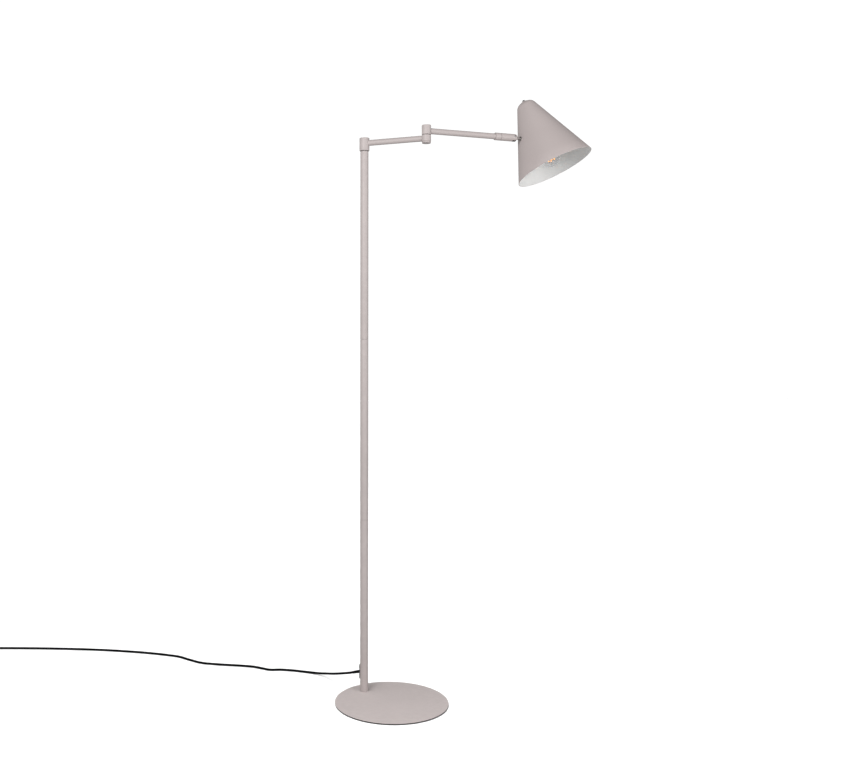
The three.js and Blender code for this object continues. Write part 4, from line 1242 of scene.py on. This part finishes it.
def wire(name, routes, radius, place, material):
    """Fine wires along lists of points in millimetres, as one mesh."""
    curve = round_curve(name, radius, 3, 6)
    for route in routes:
        spline = curve.splines.new("POLY")
        spline.points.add(len(route) - 1)
        for point, spot in zip(spline.points, route):
            point.co = (*(Vector(spot) * MM), 1)
    source = add_object(name, curve)
    mesh = final_mesh(source)
    bpy.data.objects.remove(source)
    bpy.data.curves.remove(curve)
    mesh.materials.clear()
    mesh.materials.append(material)
    return placed(name, mesh, place)


def add_filaments():
    middle = BULB_CENTRE + 1
    half = FILAMENT_LENGTH / 2
    wires = []
    for i in range(4):
        turn = Matrix.Rotation(radians(45 + 90 * i), 4, "Z")
        upright = shifted(shifted(SHADE, z=middle) @ turn, x=FILAMENT_OFFSET)
        place = upright @ Matrix.Rotation(FILAMENT_TILT, 4, "X")
        stick = turned(f"bulb_filament_stick_{i + 1}", outline(
            (0, -half), (0.45, -half, 0.1), (0.45, -half + 2.2), (1, -half + 2.4, 0.3), (1, half - 2.4, 0.3),
            (0.45, half - 2.2), (0.45, half, 0.1), (0, half),
        ), place, AMBER_GLOW, NICKEL, segments=24)
        for face in stick.data.polygons:
            face.material_index = 1 if abs(face.center.z) > (half - 2.3) * MM else 0
        fit(stick, "head", "filament_coating", f"bulb_filament_{i + 1}")
        local = SHADE.inverted() @ place
        for end, level in ((-half, BULB_CENTRE - 3.2), (half, BULB_CENTRE + 14.6)):
            tip = local @ Vector((0, 0, (end + (0.3 if end < 0 else -0.3)) * MM)) / MM
            inner = Vector((tip.x * 0.2, tip.y * 0.2, level))
            knee = Vector((tip.x * 0.85, tip.y * 0.85, tip.z + (0.8 if end > 0 else -0.8)))
            bow = (knee + inner) / 2 + Vector((0, 0, 0.4))
            wires.append([tip, knee, bow, inner])
    supports = wire("bulb_support_wires", wires, 0.32, SHADE, KNUCKLE_WIRE)
    fit(supports, "head", "cap_nickel")


# ---- Stage ----


def area_light(name, place, target, size, power):
    data = bpy.data.lights.new(name, "AREA")
    data.shape = "DISK"
    data.size = size
    data.energy = power
    light = add_object(name, data)
    light.location = place
    light.rotation_euler = (Vector(target) - Vector(place)).to_track_quat("-Z", "Y").to_euler()
    light.visible_camera = False


def overhead_light(name, energy, piece):
    """A broad overhead light on one piece alone: the rest keeps the softboxes' shading."""
    sun = bpy.data.lights.new(name, "SUN")
    sun.energy = energy
    sun.angle = radians(50)
    light = add_object(name, sun)
    light.rotation_euler = (radians(18), radians(-12), 0)
    lit = bpy.data.collections.new(name)
    lit.objects.link(piece)
    light.light_linking.receiver_collection = lit


def add_floor():
    bm = bmesh.new()
    bmesh.ops.create_grid(bm, x_segments=8, y_segments=8, size=14000)
    shader = Shader("floor", (0.93, 0.93, 0.93), 0.9)
    shader.vary_colour(0.6, 1.01, 0.99)
    shader.bump(None, 0.01, 0.00005, 0.2)
    preset(shader.surface, Specular_IOR_Level=0.0)
    floor = new_object("floor", bm, Matrix.Translation((0, 0, -0.0002)), shader.material)
    for ray in ("diffuse", "glossy", "transmission"):
        setattr(floor, f"visible_{ray}", False)
    return floor


def add_world():
    """White to the camera, and to everything else a soft gradient that darkens upwards."""
    world = bpy.data.worlds.new("studio")
    world.use_nodes = True
    new = world.node_tree.nodes.new
    link = world.node_tree.links.new
    soft = world.node_tree.nodes["Background"]
    preset(soft, Strength=0.42)
    height = new("ShaderNodeSeparateXYZ")
    link(new("ShaderNodeTexCoord").outputs["Generated"], height.inputs["Vector"])
    shades = new("ShaderNodeMapRange")
    preset(shades, From_Max=0.8, To_Min=1.15, To_Max=0.15)
    link(height.outputs["Z"], shades.inputs["Value"])
    link(shades.outputs["Result"], soft.inputs["Color"])
    white = new("ShaderNodeBackground")
    preset(white, Color=(1, 1, 1, 1), Strength=1.05)
    mix = new("ShaderNodeMixShader")
    link(new("ShaderNodeLightPath").outputs["Is Camera Ray"], mix.inputs["Fac"])
    link(soft.outputs["Background"], mix.inputs[1])
    link(white.outputs["Background"], mix.inputs[2])
    link(mix.outputs["Shader"], world.node_tree.nodes["World Output"].inputs["Surface"])
    bpy.context.scene.world = world


def add_stage():
    floor = add_floor()
    add_world()
    area_light("front_softbox", (-1.1, -2.0, 1.7), (0.1, 0.05, 1.3), 1.2, 42)
    area_light("right_softbox", (2.05, -1.5, 1.3), (0.1, 0.05, 1.25), 1.2, 26)
    overhead_light("floor_overhead", 3.3, floor)
    overhead_light("base_overhead", 1.7, bpy.data.objects["base"])
    bpy.context.scene.view_settings.view_transform = "Standard"


add_base()
add_post()
add_outlet()
add_first_arm()
add_elbow()
add_second_arm()
add_swivel()
add_knuckle()
add_shade()
add_switch()
add_holder()
add_bulb()
add_filaments()
add_stage()

bpy.context.view_layer.update()
